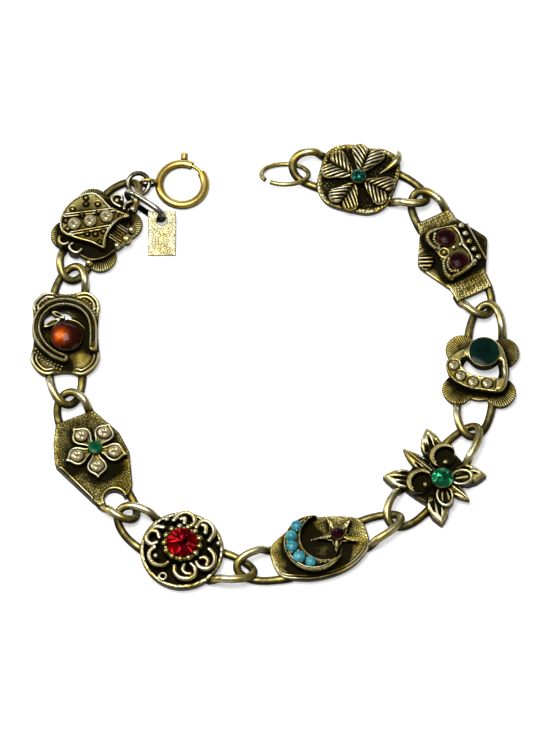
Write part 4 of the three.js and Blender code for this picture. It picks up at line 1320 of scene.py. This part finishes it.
turquoise_domes = []
for turn, r in ((58, 0.8), (27, 0.92), (-6, 0.88), (-33, 0.84), (-62, 0.84)):
    dome_at = around((0.85, -0.75), 3.5, turn)
    turquoise_domes.append(dome_stone(*dome_at, r, 2.5, 3.05, 3.68, turquoise, steps=28))
lay(place_of("star_garnet", *star_middle, -158), {
    "crescent_link": {
        "crescent_plate": casting(
            crescent_edge, crescent_ground, 0.0, (-7.3, 7.8, -5.3, 5.2), pitch=0.08,
            tarnish=crescent_tarnish_and_shade,
        ),
        "crescent_moon": casting(
            moon_edge, moon_relief, 1.3, (-2.5, 5.8, -5.1, 4.2), pitch=0.07, rim=0.08, draft=0,
            tarnish=lambda x, y: 0.22 * ease(moon_edge(x, y), 0.4, 0.7),
        ),
        "crescent_star": casting(
            star_edge, star_relief, 1.3, (-5.9, 0.7, -3.9, 2.8), pitch=0.07, rim=0.06, draft=0,
            tarnish=lambda x, y: 0.14,
        ),
        "crescent_loops": end_loops(crescent_edge, (12.3, 2.1, 0.2, -0.3), (12.8, 2.5, 0.1, -1.3)),
        "crescent_milgrain": joined(
            grown(milgrain, moon_inner, height=3.02, bead_radius=0.15, spacing=0.27),
            grown(milgrain, moon_outer, height=3.04, bead_radius=0.13, spacing=0.24),
            grown(milgrain, *star_rows, height=2.45, bead_radius=0.14, spacing=0.3),
            grown(shot, moon_shot, height=3.0, ball_radius=0.22, rows=6),
        ),
        "star_collar": collar(*star_middle, 0.92, 1.4, 2.85, wall=0.14, steps=28),
    },
    "star_garnet": {"star_gem": cut_stone(*star_middle, 0.9, 2.4, 2.98, 3.35, garnet)},
    **numbered("crescent_turquoise", "turquoise_dome", turquoise_domes),
})


# ================================================================ the rosette link
# A round cast dish with a ruby-red glass stone held high in a ring of bead claws. Flat wire
# scrolls, one of them roped, stand on the dish round it with a small ring and three balls.

def rosette_edge(x, y):
    return 6.098 - np.hypot(x - 0.1, y)


def rosette_dish_relief(x, y):
    d = rosette_edge(x, y)
    rim_top = 1.75 + 0.12 * ridge(d - 0.4, 0.4) + 0.06 * hammered(x, y, 0.8, 9)
    floor = 1.3 + 0.05 * hammered(x, y, 0.5, 8)
    return rim_top + (floor - rim_top) * ease(d, 0.5, 0.85)


def wirework(lines, half, foot, high, floor, span, twist=0.0):
    """Wires laid on edge along lines and soldered down, as one casting with a rounded top. With a
    twist they are roped, and twist is how far one strand is from the next."""

    def nearest(x, y):
        gaps, alongs = zip(*[off_line(x, y, line) for line in lines])
        gap = np.min(gaps, 0)
        return gap, np.choose(np.argmin(gaps, 0), alongs)

    def relief(x, y):
        gap, along = nearest(x, y)
        rope = strands(gap, along, twist) if twist else 1
        return foot + (high - foot) * ridge(gap, half * 1.05) ** 0.5 * (0.8 + 0.2 * rope)

    return casting(
        lambda x, y: half - nearest(x, y)[0], relief, floor, span, pitch=0.07, rim=0.04, draft=0,
    )


def curl(*points):
    return curve_through(points, closed=False, steps=5)


rosette_wires = [
    curl((-0.3, 3.1), (-0.8, 4.0), (-1.8, 4.35), (-3.0, 3.95), (-3.5, 3.0), (-3.1, 2.1), (-2.2, 1.7)),
    curl((-2.9, 3.2), (-2.2, 3.4), (-1.6, 3.05), (-1.45, 2.3)),
    curl((-2.8, 1.15), (-3.5, 1.6), (-4.4, 1.5), (-5.1, 0.75), (-5.05, -0.35), (-4.4, -1.15), (-3.5, -1.5)),
    curl((-4.35, 0.85), (-4.2, 0.2), (-3.6, -0.05), (-3.05, 0.3)),
    curl((3.7, 0.9), (4.3, 1.5), (5.1, 1.3), (5.5, 0.5), (5.2, -0.4), (4.4, -0.55), (3.75, 0.05)),
    curl((5.4, -0.2), (5.0, -1.2), (3.9, -1.6)),
    curl((-2.9, -2.7), (-3.0, -4.1), (-2.4, -5.0), (-1.2, -5.35), (-0.45, -4.8), (-0.35, -3.8)),
    curl((-1.9, -3.6), (-1.55, -4.5), (-1.0, -4.5)),
    curl((0.45, -3.7), (0.3, -4.5), (0.95, -5.2), (2.0, -5.25), (2.8, -4.5), (3.1, -3.3)),
    curl((1.5, -3.6), (1.75, -4.3), (2.2, -4.0)),
]
rosette_rope = curl((0.85, 3.1), (1.3, 3.75), (2.4, 4.1), (3.4, 3.7), (3.95, 2.8), (3.7, 1.8))
small_ring = np.vstack([ring_line(0.6, 5.15, 0.5, steps=20), [(1.1, 5.15)]])
ruby_at = (0.2, -0.28)
cup_profile = [
    (2.28, 1.2), (2.28, 3.45), (2.36, 3.55), (2.6, 3.45), (2.74, 3.2), (2.6, 2.6), (2.74, 1.9), (2.8, 1.2),
]
claw_count = 13
claw_spots = [around(ruby_at, 2.58, 360 * k / claw_count) for k in range(claw_count)]
high_ball, low_balls = (2.85, 2.95, 2.7), [(-4.3, -3.05, 2.3), (4.15, -3.1, 2.3)]
# Ruby-red lead glass on foil.
ruby = pressed_glass(
    "ruby_lead_glass", ("#220104", "#78030a", "#cc0a10"), tilt=0.3, wedges=10, coat=0.0, gloss=0.1,
)
rosette_place = place_of("rosette_ruby", 0.15, 0.0, 153.2)
lay(rosette_place, {
    "rosette_link": {
        "rosette_dish": casting(
            rosette_edge, rosette_dish_relief, 0.0, (-6.2, 6.4, -6.3, 6.3),
            tarnish=lambda x, y: 0.04 + 0.22 * ease(rosette_edge(x, y), 0.7, 1.1),
        ),
        "rosette_scrolls": wirework(rosette_wires, 0.35, 2.2, 2.95, 1.1, (-5.6, 5.9, -5.8, 4.8)),
        "rosette_roped": wirework([rosette_rope], 0.33, 2.2, 3.0, 1.1, (0.4, 4.4, 1.4, 4.6), twist=0.4),
        "rosette_ring": wirework([small_ring], 0.2, 1.9, 2.35, 1.1, (-0.3, 1.5, 4.2, 6.0)),
        "rosette_loops": end_loops(rosette_edge, (10.8, 2.4, -0.2, -1.1), (11.1, 2.6, -0.3, -1.0)),
        "rosette_cup": turned(*ruby_at, cup_profile, steps=52),
    },
    "rosette_ruby": {
        "rosette_gem": cut_stone(
            *ruby_at, 2.25, 3.0, 3.92, 4.48, ruby, sides=10, table=0.36, turn=12,
        ),
    },
})
rosette_beads = joined(
    grown(shot, claw_spots, height=3.66, ball_radius=0.45),
    grown(shot, [high_ball, *low_balls], ball_radius=0.45),
    *[
        turned(x, y, [(0, 1.2), (0.34, 1.2), (0.3, 2.3), (0, 2.3)], steps=12)
        for x, y, _ in (high_ball, *low_balls)
    ],
)
lay(rosette_place, {"rosette_link": {"rosette_beads": rosette_beads}}, tarnish=-0.02)


# ================================================================ the daisy link
# A stippled six-sided plate with a round hole at one end, which the chain runs through. Five
# pointed petals with double wire edges each hold a rhinestone round a flat green centre.

daisy_outline = depth_in([
    (6.4, 3.3), (3.5, 4.9), (1.0, 5.75), (0.2, 5.85), (-0.5, 5.6), (-6.9, 3.1), (-8.2, 2.4), (-8.2, -2.3),
    (-6.9, -3.3), (-1.9, -4.9), (1.6, -4.7), (6.4, -2.6),
])
daisy_middle, daisy_hole, daisy_hole_radius = (0.05, -0.3), (-7.95, 0.0), 1.45
petal_turns = (22, 91, 163, 237, 310)


def off_hole(x, y):
    return from_middle(x, y, daisy_hole) - daisy_hole_radius


def daisy_edge(x, y):
    return np.minimum(daisy_outline(x, y), off_hole(x, y))


def daisy_ground(x, y):
    stipple = 0.06 * hammered(x, y, 0.4, 11) + 0.08 * hammered(x, y, 0.27, 12)
    top_edge = off_line(x, y, [(-6.6, 3.2), (-0.6, 5.45)])[0]
    rims = np.maximum(ridge(top_edge - 0.25, 0.22), 0.7 * ridge(off_hole(x, y) - 0.3, 0.24))
    return plate_top - 0.25 + np.where(rims > 0, 0.24 * rims, stipple * ease(daisy_edge(x, y), 0.0, 0.25))


def daisy_tarnish_and_shadow(x, y):
    # Painted shadow: two dark patches, left of the petals and above them, over a little oxide everywhere.
    left = ease(1.0 - np.hypot((x + 3.9) / 1.5, (y + 0.6) / 3.4), 0, 0.7)
    above = ease(1.0 - np.hypot((x + 1.3) / 1.5, (y - 3.7) / 2.4), 0, 0.7)
    return 0.14 + 0.3 * np.maximum(left, above)


def petal_outline(root, tip, width):
    """A petal: narrow at its root, full and round beyond its middle, then drawn in to a point."""
    along = np.subtract(tip, root)
    across = np.array([-along[1], along[0]]) / np.hypot(*along) * width
    half = [(0.0, 0.12), (0.22, 0.26), (0.4, 0.45), (0.6, 0.51), (0.76, 0.38), (0.88, 0.14), (1.0, 0.0)]
    left = [root + a * along + b * across for a, b in half]
    right = [root + a * along - b * across for a, b in half[-2::-1]]
    return curve_through(left + right, steps=3)


petal_depths = [
    depth_in(petal_outline(around(daisy_middle, 0.5, turn), around(daisy_middle, 4.7, turn), 2.9))
    for turn in petal_turns
]


def petals_edge(x, y):
    return np.max([depth(x, y) for depth in petal_depths], 0)


def petals_relief(x, y):
    d = petals_edge(x, y)
    return 2.4 + 0.28 * ridge(d - 0.18, 0.22) + 0.1 * ridge(d - 0.52, 0.12)


daisy_spots = [around(daisy_middle, 2.85, turn) for turn in petal_turns]
# Mid-green glass: flat, opaque, with hardly a facet.
flat_green = pressed_glass(
    "flat_green_glass", ("#032d1a", "#074f2e", "#0c7042"), tilt=0.05, wedges=6, roughness=0.14,
    coat=0.0, foil=0.0, gloss=0.12,
)
lay(place_of("daisy_centre", *daisy_middle, 112.8), {
    "daisy_link": {
        "daisy_plate": casting(
            daisy_edge, daisy_ground, 0.0, (-8.4, 6.7, -5.1, 6.1), pitch=0.08, rim=0.14, draft=0.08,
            tarnish=daisy_tarnish_and_shadow,
        ),
        "daisy_petals": casting(
            petals_edge, petals_relief, 1.3, (-4.9, 5.0, -4.9, 4.8), pitch=0.07, rim=0.08, draft=0,
            tarnish=lambda x, y: -0.1 * ease(petals_edge(x, y), 0.3, 0.4),
        ),
        "daisy_loops": end_loops(daisy_edge, (12.0, 2.3, 0.0, -1.0), (10.3, 2.4, 0.3, -0.1)),
        "daisy_collars": joined(
            *[collar(x, y, 0.86, 2.0, 2.92, wall=0.17, steps=24) for x, y in daisy_spots],
            collar(*daisy_middle, 1.0, 2.0, 3.0, wall=0.08, steps=32),
        ),
    },
    "daisy_centre": {
        "daisy_green": dome_stone(*daisy_middle, 1.0, 2.7, 3.1, 3.28, flat_green, steps=32),
    },
    **numbered("daisy_rhinestone", "daisy_crystal", [
        cut_stone(x, y, 0.85, 2.5, 2.95, 3.15, rhinestone, sides=6, turn=turn)
        for (x, y), turn in zip(daisy_spots, petal_turns)
    ]),
})


# ================================================================ the horseshoe link
# A lobed plate, ridged at its corners, with an opening in the middle. A cast horseshoe with
# milgrained edges curves round an amber glass dome, and two open leaves cross the opening.

horseshoe_outline = depth_in(curve_through([
    (6.5, 2.6), (5.9, 3.9), (4.5, 4.9), (2.6, 4.8), (0, 4.7), (-2.2, 4.8), (-4.4, 5.2), (-6.0, 4.5),
    (-7.0, 3.0), (-6.6, 0.8), (-6.6, -0.8), (-7.1, -2.4), (-5.9, -4.2), (-4.2, -5.0), (-2.2, -4.8),
    (0, -4.7), (2.6, -4.8), (4.4, -5.0), (5.8, -4.2), (6.5, -2.8), (6.1, 0),
], steps=5))
horseshoe_window = depth_in(curve_through([
    (0.9, 2.9), (2.2, 3.0), (3.1, 1.6), (3.2, 0), (2.2, -0.8), (1.7, 0.5),
], steps=6))
shoe_line = curve_through([
    (-4.75, 0.25), (-4.1, 1.7), (-2.9, 3.1), (-1.3, 4.05), (0.4, 4.35), (2.2, 3.85), (3.6, 2.6),
    (4.25, 1.0), (4.2, -0.7), (3.5, -2.3), (2.1, -3.5), (0.4, -3.95), (-1.3, -4.0), (-3.0, -3.95),
], closed=False, steps=5)
shoe_half, shoe_bead_off = 0.62, 0.4
amber_at = (-1.05, -0.1)


def horseshoe_edge(x, y):
    return np.minimum(horseshoe_outline(x, y), -horseshoe_window(x, y))


def plate_corner(x, y):
    return ease(np.abs(x), 3.0, 3.8) * ease(np.abs(y), 1.2, 2.0)


def smooth_patch(x, y):
    """1 on the solder that has run smooth beside the shoe's end."""
    return ease(1 - np.hypot((x + 4.6) / 1.1, (y + 2.1) / 1.4), 0, 0.4)


def horseshoe_ground(x, y):
    d = horseshoe_outline(x, y)
    arcs = ridge(d - 0.3, 0.28) + 0.9 * ridge(d - 0.88, 0.22)
    arcs = arcs * plate_corner(x, y) * (1 - smooth_patch(x, y))
    bezel_lines = ridge(from_middle(x, y, amber_at) - 2.95, 0.17) * ease(x, 0.0, 0.6)
    return plate_top - 0.25 + 0.3 * arcs + 0.35 * bezel_lines


def horseshoe_tarnish(x, y):
    web = ease(1 - np.hypot((x + 6.0) / 1.2, y / 1.4), 0, 0.4)
    return 0.18 * (1 - plate_corner(x, y)) - 0.06 - 0.06 * smooth_patch(x, y) + 0.25 * web


def shoe_relief(x, y):
    gap, along = off_line(x, y, shoe_line)
    rungs = np.cos(math.pi * along / 0.42) ** 2 * (1 - ease(gap, 0.15, 0.25))
    return 2.62 + 0.3 * ridge(gap - 0.4, 0.2) + 0.05 * rungs


def beside(line, gap):
    """A line that runs beside another, gap to its left."""
    run = np.gradient(line, axis=0)
    run /= np.hypot(*run.T)[:, None]
    return line + gap * np.stack([-run[:, 1], run[:, 0]], 1)


open_leaf_edge = depth_in_any([(1.05, 2.0, 1.45, 0.42, 118), (2.35, 1.15, 1.15, 0.38, 62)])
shoe_edges = [beside(shoe_line, shoe_bead_off), beside(shoe_line, -shoe_bead_off)]
for which, out in ((0, (0.25, 0.32)), (-1, (0.4, 0))):
    shoe_edges.append(np.vstack([shoe_edges[0][which], shoe_line[which] - out, shoe_edges[1][which]]))
plate_rows = []
for gap in (0.98, 1.5):
    row = beside(shoe_line, gap)
    on_plate = horseshoe_outline(row[:, 0], row[:, 1]) > 0.35
    runs = np.split(np.arange(len(row)), np.flatnonzero(np.diff(on_plate)) + 1)
    plate_rows += [row[run] for run in runs if on_plate[run[0]] and len(run) > 1]

# Amber glass: a clear dome over foil, with a painted glow of light up one side that fades to painted
# brown shade towards its foot, and swirls about 1 mm across.
amber, amber_tree, amber_shader = new_material("amber_glass")
amber_cut = add_node(amber_tree, "ShaderNodeAttribute", attribute_name="cut").outputs["Vector"]
# Painted light: the glass is lightest round a spot up one side and shaded darker away from it.
amber_off_painted_glow = add_node(
    amber_tree, "ShaderNodeVectorMath", {0: amber_cut, 1: (-0.2, 0.42, 0.0)}, operation="SUBTRACT",
)
amber_far_from_painted_glow = add_node(amber_tree, "ShaderNodeVectorMath", {0: amber_off_painted_glow}, operation="LENGTH")
amber_swirl = add_node(
    amber_tree, "ShaderNodeTexNoise",
    {"Vector": amber_cut, "Scale": 2.2, "Detail": 2.0, "Distortion": 1.5},
)
amber_shade = add_node(
    amber_tree, "ShaderNodeMath", {0: amber_swirl, 1: 0.5, 2: amber_far_from_painted_glow.outputs["Value"]},
    operation="MULTIPLY_ADD",
)
amber_tones = add_node(
    amber_tree, "ShaderNodeValToRGB", {"Fac": amber_shade},
    [(0.3, "#ff7c1c"), (0.62, "#8a2f06"), (1.0, "#2a0a03")],
)
feed(amber_shader, {
    "Base Color": amber_tones, "Roughness": 0.12, "IOR": 1.54, "Specular IOR Level": 0.18,
})

horseshoe_place = place_of("horseshoe_cabochon", *amber_at, 90)
lay(horseshoe_place, {
    "horseshoe_link": {
        "horseshoe_plate": casting(
            horseshoe_edge, horseshoe_ground, 0.0, (-7.3, 6.8, -5.3, 5.5), pitch=0.08, rim=0.12,
            tarnish=horseshoe_tarnish,
        ),
        "horseshoe_shoe": casting(
            lambda x, y: shoe_half - off_line(x, y, shoe_line)[0], shoe_relief, 1.3,
            (-5.6, 5.1, -4.8, 5.2), pitch=0.08, rim=0.1, draft=0,
            tarnish=lambda x, y: 0.22 * (1 - ease(off_line(x, y, shoe_line)[0], 0.15, 0.3)),
        ),
        "horseshoe_leaves": casting(
            open_leaf_edge, lambda x, y: 2.3 + 0.3 * ridge(open_leaf_edge(x, y) - 0.1, 0.12),
            1.5, (-0.2, 3.6, 0, 3.6), pitch=0.06, rim=0.05, draft=0,
        ),
        "horseshoe_loops": end_loops(
            horseshoe_edge, (11.7, 2.4, 0.0, -0.1), (10.5, 2.3, -0.4, -0.7),
        ),
        "amber_collar": collar(*amber_at, 2.3, 1.2, 2.55, wall=0.14, steps=52),
    },
    "horseshoe_cabochon": {
        "amber_dome": dome_stone(*amber_at, 2.28, 1.9, 2.5, 3.88, amber, steps=56),
    },
})
horseshoe_milgrain = joined(
    grown(milgrain, *shoe_edges, height=2.92, bead_radius=0.16, spacing=0.28),
    grown(milgrain, *plate_rows, height=1.75, bead_radius=0.17, spacing=0.5),
)
lay(horseshoe_place, {"horseshoe_link": {"horseshoe_milgrain": horseshoe_milgrain}}, tarnish=-0.08)


# ================================================================ the shield link
# A ribbed plate of four lobes like the heart's. Wire scrolls and balls lie on it under a thick
# cast shield, which carries two double bars, small round bosses and three rhinestones.

shield_face = depth_in(curve_through([
    (3.9, -3.2), (2.4, -2.4), (0.7, -2.2), (-0.9, -2.5), (-2.6, -3.3), (-3.0, -1.2), (-3.8, 1.2),
    (-4.0, 3.4), (-2.4, 4.8), (-0.2, 5.25), (2.2, 4.7), (3.75, 3.4), (3.85, 1.8), (3.4, -0.4),
], steps=6))
shield_bed = depth_in(curve_through([
    (5.2, -1.8), (3.6, -3.4), (0.6, -4.9), (-1.6, -4.4), (-3.4, -3.8), (-4.9, -2.2), (-5.0, 1.0),
    (-3.6, 3.6), (3.6, 3.6), (5.0, 1.6), (5.7, 0.1),
], steps=6))
shield_bars = [[(-1.65, 4.4), (3.3, -0.8)], [(-3.5, 2.0), (0.7, -1.9)]]
shield_stones = [(-2.05, 2.55), (-0.3, 0.95), (1.7, -0.55)]
shield_bosses = [
    (-2.25, 3.9), (-0.15, 4.2), (1.65, 3.1), (2.45, 3.7), (2.65, 1.7), (1.55, 0.7), (-0.25, 2.4),
    (-3.15, 2.9), (-2.15, 0.1), (-1.45, -0.9), (-2.1, -2.2), (-0.4, -1.6), (3.1, -2.2),
]


def shield_relief(x, y):
    d = shield_face(x, y)
    top = 3.5 + 0.2 * ridge(d - 0.18, 0.18)
    for line in shield_bars:
        gap, _ = off_line(x, y, line)
        top = np.maximum(top, 3.5 + 0.3 * ridge(gap - 0.2, 0.17))
    for boss in shield_bosses:
        far = from_middle(x, y, boss)
        top = top + 0.24 * dome(0.34 - far, 0.34) - 0.1 * ridge(far - 0.42, 0.1)
    return top


def shield_tarnish(x, y):
    on_boss = np.max([ease(0.36 - from_middle(x, y, boss), 0, 0.1) for boss in shield_bosses], 0)
    return 0.02 + 0.1 * ease(-y, -0.5, 2.0) + 0.22 * on_boss


def bed_fan(x, y):
    """1 on the ribbed fan that shows below the shield."""
    return ease(1.5 - np.abs(x - 1.0), 0, 0.3) * ease(-y, 1.8, 2.2)


def bed_relief(x, y):
    ribs = np.cos(math.pi * (x - 1.0) / 0.42) ** 2
    return 2.1 + 0.5 * ribs * bed_fan(x, y) + 0.12 * ridge(shield_bed(x, y) - 0.2, 0.2)


shield_wires = [
    curl((-4.3, 1.2), (-4.9, 1.3), (-5.35, 0.6), (-5.1, -0.2), (-4.3, -0.4)),
    curl((-4.6, 3.3), (-5.2, 2.9), (-5.2, 2.2), (-4.6, 1.8)),
    curl((4.6, -0.9), (4.5, 0.2), (5.1, 0.9), (5.9, 0.6), (6.1, -0.1), (5.6, -0.5)),
    curl((4.6, -1.6), (5.4, -1.3), (6.2, -1.7)),
]
shield_balls = [
    (-0.65, -4.2, 0.62), (1.05, -4.75, 0.8), (2.65, -4.4, 0.62), (5.5, -2.6, 0.55), (5.2, 0.1, 0.45),
    (-5.3, -2.5, 0.55),
]
shield_rope = curve_through(
    [(-2.4, -2.95), (-0.9, -2.25), (0.7, -1.95), (2.3, -2.15), (3.6, -2.8)], closed=False, steps=6,
)
shield_place = place_of("shield_rhinestone_2", *shield_stones[1], 54)
lay(shield_place, {
    "shield_link": {
        "shield_plate": ribbed_plate(0),
        "shield_bed": casting(
            shield_bed, bed_relief, 1.0, (-5.4, 6.1, -5.3, 4.4), pitch=0.08, rim=0.15, draft=0.1,
            # The bed under the shield gets painted shadow, and the ribbed fan that shows below it is kept
            # lighter.
            tarnish=lambda x, y: 0.3 - 0.6 * bed_fan(x, y),
        ),
        "shield_face": casting(
            shield_face, shield_relief, 1.9, (-4.6, 4.4, -3.9, 5.5), pitch=0.07, rim=0.12, draft=0.1,
            tarnish=shield_tarnish,
        ),
        "shield_scrolls": wirework(shield_wires, 0.26, 2.2, 2.85, 0.9, (-5.9, 6.7, -2.2, 3.8)),
        "shield_loops": end_loops(lobed_edge(0), (9.0, 2.3, -0.1, -0.9), (9.3, 2.45, 0.0, 0.0)),
        "shield_collars": joined(
            *[collar(x, y, 0.9, 3.0, 3.92, wall=0.13, steps=24) for x, y in shield_stones],
        ),
    },
    **numbered("shield_rhinestone", "shield_crystal", [
        cut_stone(x, y, 0.89, 3.5, 3.95, 4.22, rhinestone, sides=6) for x, y in shield_stones
    ]),
})
shield_shot = joined(
    *[grown(shot, [(x, y)], height=2.25, ball_radius=r) for x, y, r in shield_balls],
    *[
        turned(x, y, [(0, 1.0), (0.7 * r, 1.0), (0.6 * r, 2.2), (0, 2.2)], steps=12)
        for x, y, r in shield_balls
    ],
    grown(milgrain, shield_rope, height=3.62, bead_radius=0.2, spacing=0.3),
)
lay(shield_place, {"shield_link": {"shield_shot": shield_shot}}, tarnish=-0.12)


# ================================================================ the jump rings at the clasp
# Two rings of nickel-plated steel wire, worn and dark. A long one stands on edge across the
# shield link's last loop and carries the tag, and a small round one joins that to the clasp.

# Worn nickel plate on steel: smoother than the brass, whiter where rubbed and blacker in hollows.
worn_steel = antiqued(
    "worn_nickel_plate", ("#f0ede0", "#a8a391", "#3f3c32", "#0b0a08"), shine=0.22, brassy="#efe6c8",
)
tag_ring_half, tag_ring_bend = 3.3, 1.8
tag_ring_x, tag_ring_y, tag_ring_z = 6.9, -3.75, 2.35
tag_ring_line = []
for side in (1, -1):
    for turn in np.radians(range(-90, 91, 10)):
        along = side * (tag_ring_half - tag_ring_bend + tag_ring_bend * math.cos(turn))
        up = side * tag_ring_bend * math.sin(turn)
        tag_ring_line.append((tag_ring_x, tag_ring_y - along, tag_ring_z + up))
tag_ring = grown(round_wire, tag_ring_line, metal=worn_steel, closed=True, wire_radius=0.44)
lay(shield_place, {"tag_jump_ring": {"tag_ring": tag_ring}})

clasp_ring_place, clasp_ring_height = middle_of("clasp_jump_ring")
clasp_ring_place["turn"] = 35
clasp_ring_rise = 0.52
clasp_ring_line = [
    (x, y, clasp_ring_height + clasp_ring_rise * y) for x, y in ring_line(0, 0, 1.6, 1.4, steps=40)
]
clasp_ring = grown(round_wire, clasp_ring_line, metal=worn_steel, closed=True, wire_radius=0.37)
lay(clasp_ring_place, {"clasp_jump_ring": {"clasp_ring": clasp_ring}}, tarnish=0.06)


# ================================================================ the hang tag
# A small oblong of pale gilt sheet, pressed with a fine pebbled grain and left blank. It hangs by
# a round hole from the long ring and leans on the table.

# Pale gilt sheet: bright, rather matt, with only a little oxide between the pebbles.
pale_gilt = antiqued(
    "pale_gilt_sheet", ("#f4eed0", "#e3daae", "#bfb079", "#6a5d34"), shine=0.45, brassy="#fffadf",
)
tag_width, tag_length, tag_thickness, tag_hole, tag_inset = 4.1, 6.7, 0.4, 0.75, 1.35
tag_lean = math.radians(11.5)


def tag_edge(x, y):
    sides = np.minimum(tag_width / 2 - np.abs(x), tag_length / 2 - np.abs(y))
    return np.minimum(sides, np.hypot(x, y - tag_length / 2 + tag_inset) - tag_hole)


def tag_grain(x, y):
    pebbles = hammered(x, y, 0.42, 21)
    return tag_thickness - 0.12 + 0.11 * pebbles * ease(tag_edge(x, y), 0.05, 0.2)


tag = casting(
    tag_edge, tag_grain, 0.0, (-2.2, 2.2, -3.5, 3.5), pitch=0.06, rim=0.08, draft=0.02, metal=pale_gilt,
)
tag_place, tag_height = middle_of("hang_tag")
tag_x, tag_y, tag_z = points_of(tag).T
tag_rise = tag_z - tag_thickness / 2
tag.vertices.foreach_set("co", np.stack([
    tag_x,
    tag_y * math.cos(tag_lean) - tag_rise * math.sin(tag_lean),
    tag_height + tag_y * math.sin(tag_lean) + tag_rise * math.cos(tag_lean),
], 1).ravel())
lay(tag_place, {"hang_tag": {"tag": tag}}, tarnish=-0.1)


# ================================================================ the spring ring
# A clasp rolled from brass tube and polished, with an upright eye soldered on. Its ends leave a
# gap, and the tube between the gap and the slot is hollow, for the gate and its spring.

# Polished rolled brass: yellow and even, with oxide only where fingers don't rub.
polished_brass = antiqued(
    "polished_rolled_brass", ("#e8d280", "#c6a33f", "#7a6624", "#1a1608"), brassy="#fdf0b4",
    mottle=0.45,
)
gate_joint = frame["record"]["behaviour"]["joints"][0]
clasp_place = {"x": gate_joint["pos_m"][0], "y": gate_joint["pos_m"][1], "turn": 0.0}
clasp_height = gate_joint["pos_m"][2] * 1000
clasp_radius, tube_radius, bore_radius = 3.35, 0.64, 0.44
gap_from, gap_to, hollow_to = 33, 64, 158
knob_at, knob_travel, slot_half, slot_spare = 86, 32, 0.24, 8
tube_sides, closed_seam, widest_gape = 28, 0.004, 1.2


def arc_line(start, end, steps):
    return [(*p, clasp_height) for p in ring_line(0, 0, clasp_radius, start=start, end=end, steps=steps)]


def hollow_tube(start, end, steps, slot=(0, 0)):
    """A bored length of the ring's tube, open along its outer side between the slot's two ends."""
    points = []
    for turn in np.linspace(start, end, steps + 1):
        slotted = slot[0] <= turn <= slot[1]
        opening = math.asin(slot_half / tube_radius) if slotted else closed_seam
        for radius, order in ((tube_radius, 1), (bore_radius, -1)):
            gape = min(opening * tube_radius / radius, widest_gape)
            for k in range(tube_sides)[::order]:
                angle = gape + (2 * math.pi - 2 * gape) * k / (tube_sides - 1)
                place = around((0, 0), clasp_radius + radius * math.cos(angle), turn)
                points.append((*place, clasp_height + radius * math.sin(angle)))
    around_tube = 2 * tube_sides
    faces = []
    for n in range(steps):
        for k in range(around_tube):
            a, b = n * around_tube + k, n * around_tube + (k + 1) % around_tube
            faces.append((a, b, b + around_tube, a + around_tube))
    for first in (0, steps * around_tube):
        for k in range(tube_sides - 1):
            inner = first + around_tube - 1 - k
            faces.append((first + k, first + k + 1, inner - 1, inner))
    return solid(points, faces, polished_brass, crease=40)


eye_radius, eye_turn = 1.05, 181
eye_reach, eye_height = clasp_radius + 0.55 + eye_radius, clasp_height + eye_radius - 0.35
eye_line = []
for angle in np.radians(range(0, 360, 10)):
    place = around((0, 0), eye_reach + eye_radius * math.cos(angle), eye_turn)
    eye_line.append((*place, eye_height + eye_radius * math.sin(angle)))
gap_end = gap_from + 360
clasp_body = joined(
    hollow_tube(gap_to, hollow_to, 94, (knob_at - slot_spare, knob_at + knob_travel + slot_spare)),
    grown(
        round_wire, arc_line(hollow_to - 0.5, gap_end - 4.5, 90), metal=polished_brass,
        wire_radius=tube_radius, sides=tube_sides,
    ),
    hollow_tube(gap_end - 5, gap_end, 4),
)
clasp_eye = grown(
    round_wire, eye_line, metal=polished_brass, closed=True, wire_radius=0.29, sides=14,
)
lay(
    clasp_place, {"spring_ring": {"clasp_body": clasp_body, "clasp_eye": clasp_eye}}, tarnish=0.15,
)


# ================================================================ the gate
# A curved brass wire that closes the gap, with a neck through the slot and a small ridged thumb
# knob outside it. It slides back into the hollow tube against the spring.

gate_out = np.array(around((0, 0), 1, knob_at))


def on_gate(profile, reach, steps):
    """A turned piece whose axis points out along the knob's line, its foot at reach."""
    mesh = turned(0, 0, profile, polished_brass, steps)
    p = points_of(mesh)
    side = np.stack([-gate_out[1] * p[:, 0], gate_out[0] * p[:, 0]], 1)
    flat = side + gate_out * (reach + p[:, 2])[:, None]
    mesh.vertices.foreach_set("co", np.column_stack([flat, clasp_height + p[:, 1]]).ravel())
    mesh.update()
    return mesh


knob_profile = [(0, 0.0), (0.42, 0.0)]
for foot in (0.06, 0.38, 0.70):
    knob_profile += [(0.44, foot), (0.54, foot + 0.08), (0.54, foot + 0.2), (0.44, foot + 0.28)]
knob_profile += [(0.4, 1.04), (0, 1.06)]
neck_profile = [(0, 0), (0.18, 0), (0.18, 1.0), (0, 1.0)]
lay(clasp_place, {"spring_ring_gate": {
    "gate_rod": grown(
        round_wire, arc_line(gap_from - 2, knob_at + 11, 40), metal=polished_brass, wire_radius=0.27,
    ),
    "gate_neck": on_gate(neck_profile, clasp_radius + 0.05, 12),
    "gate_knob": on_gate(knob_profile, clasp_radius + 0.68, 20),
}}, body="gate", tarnish=0.15)
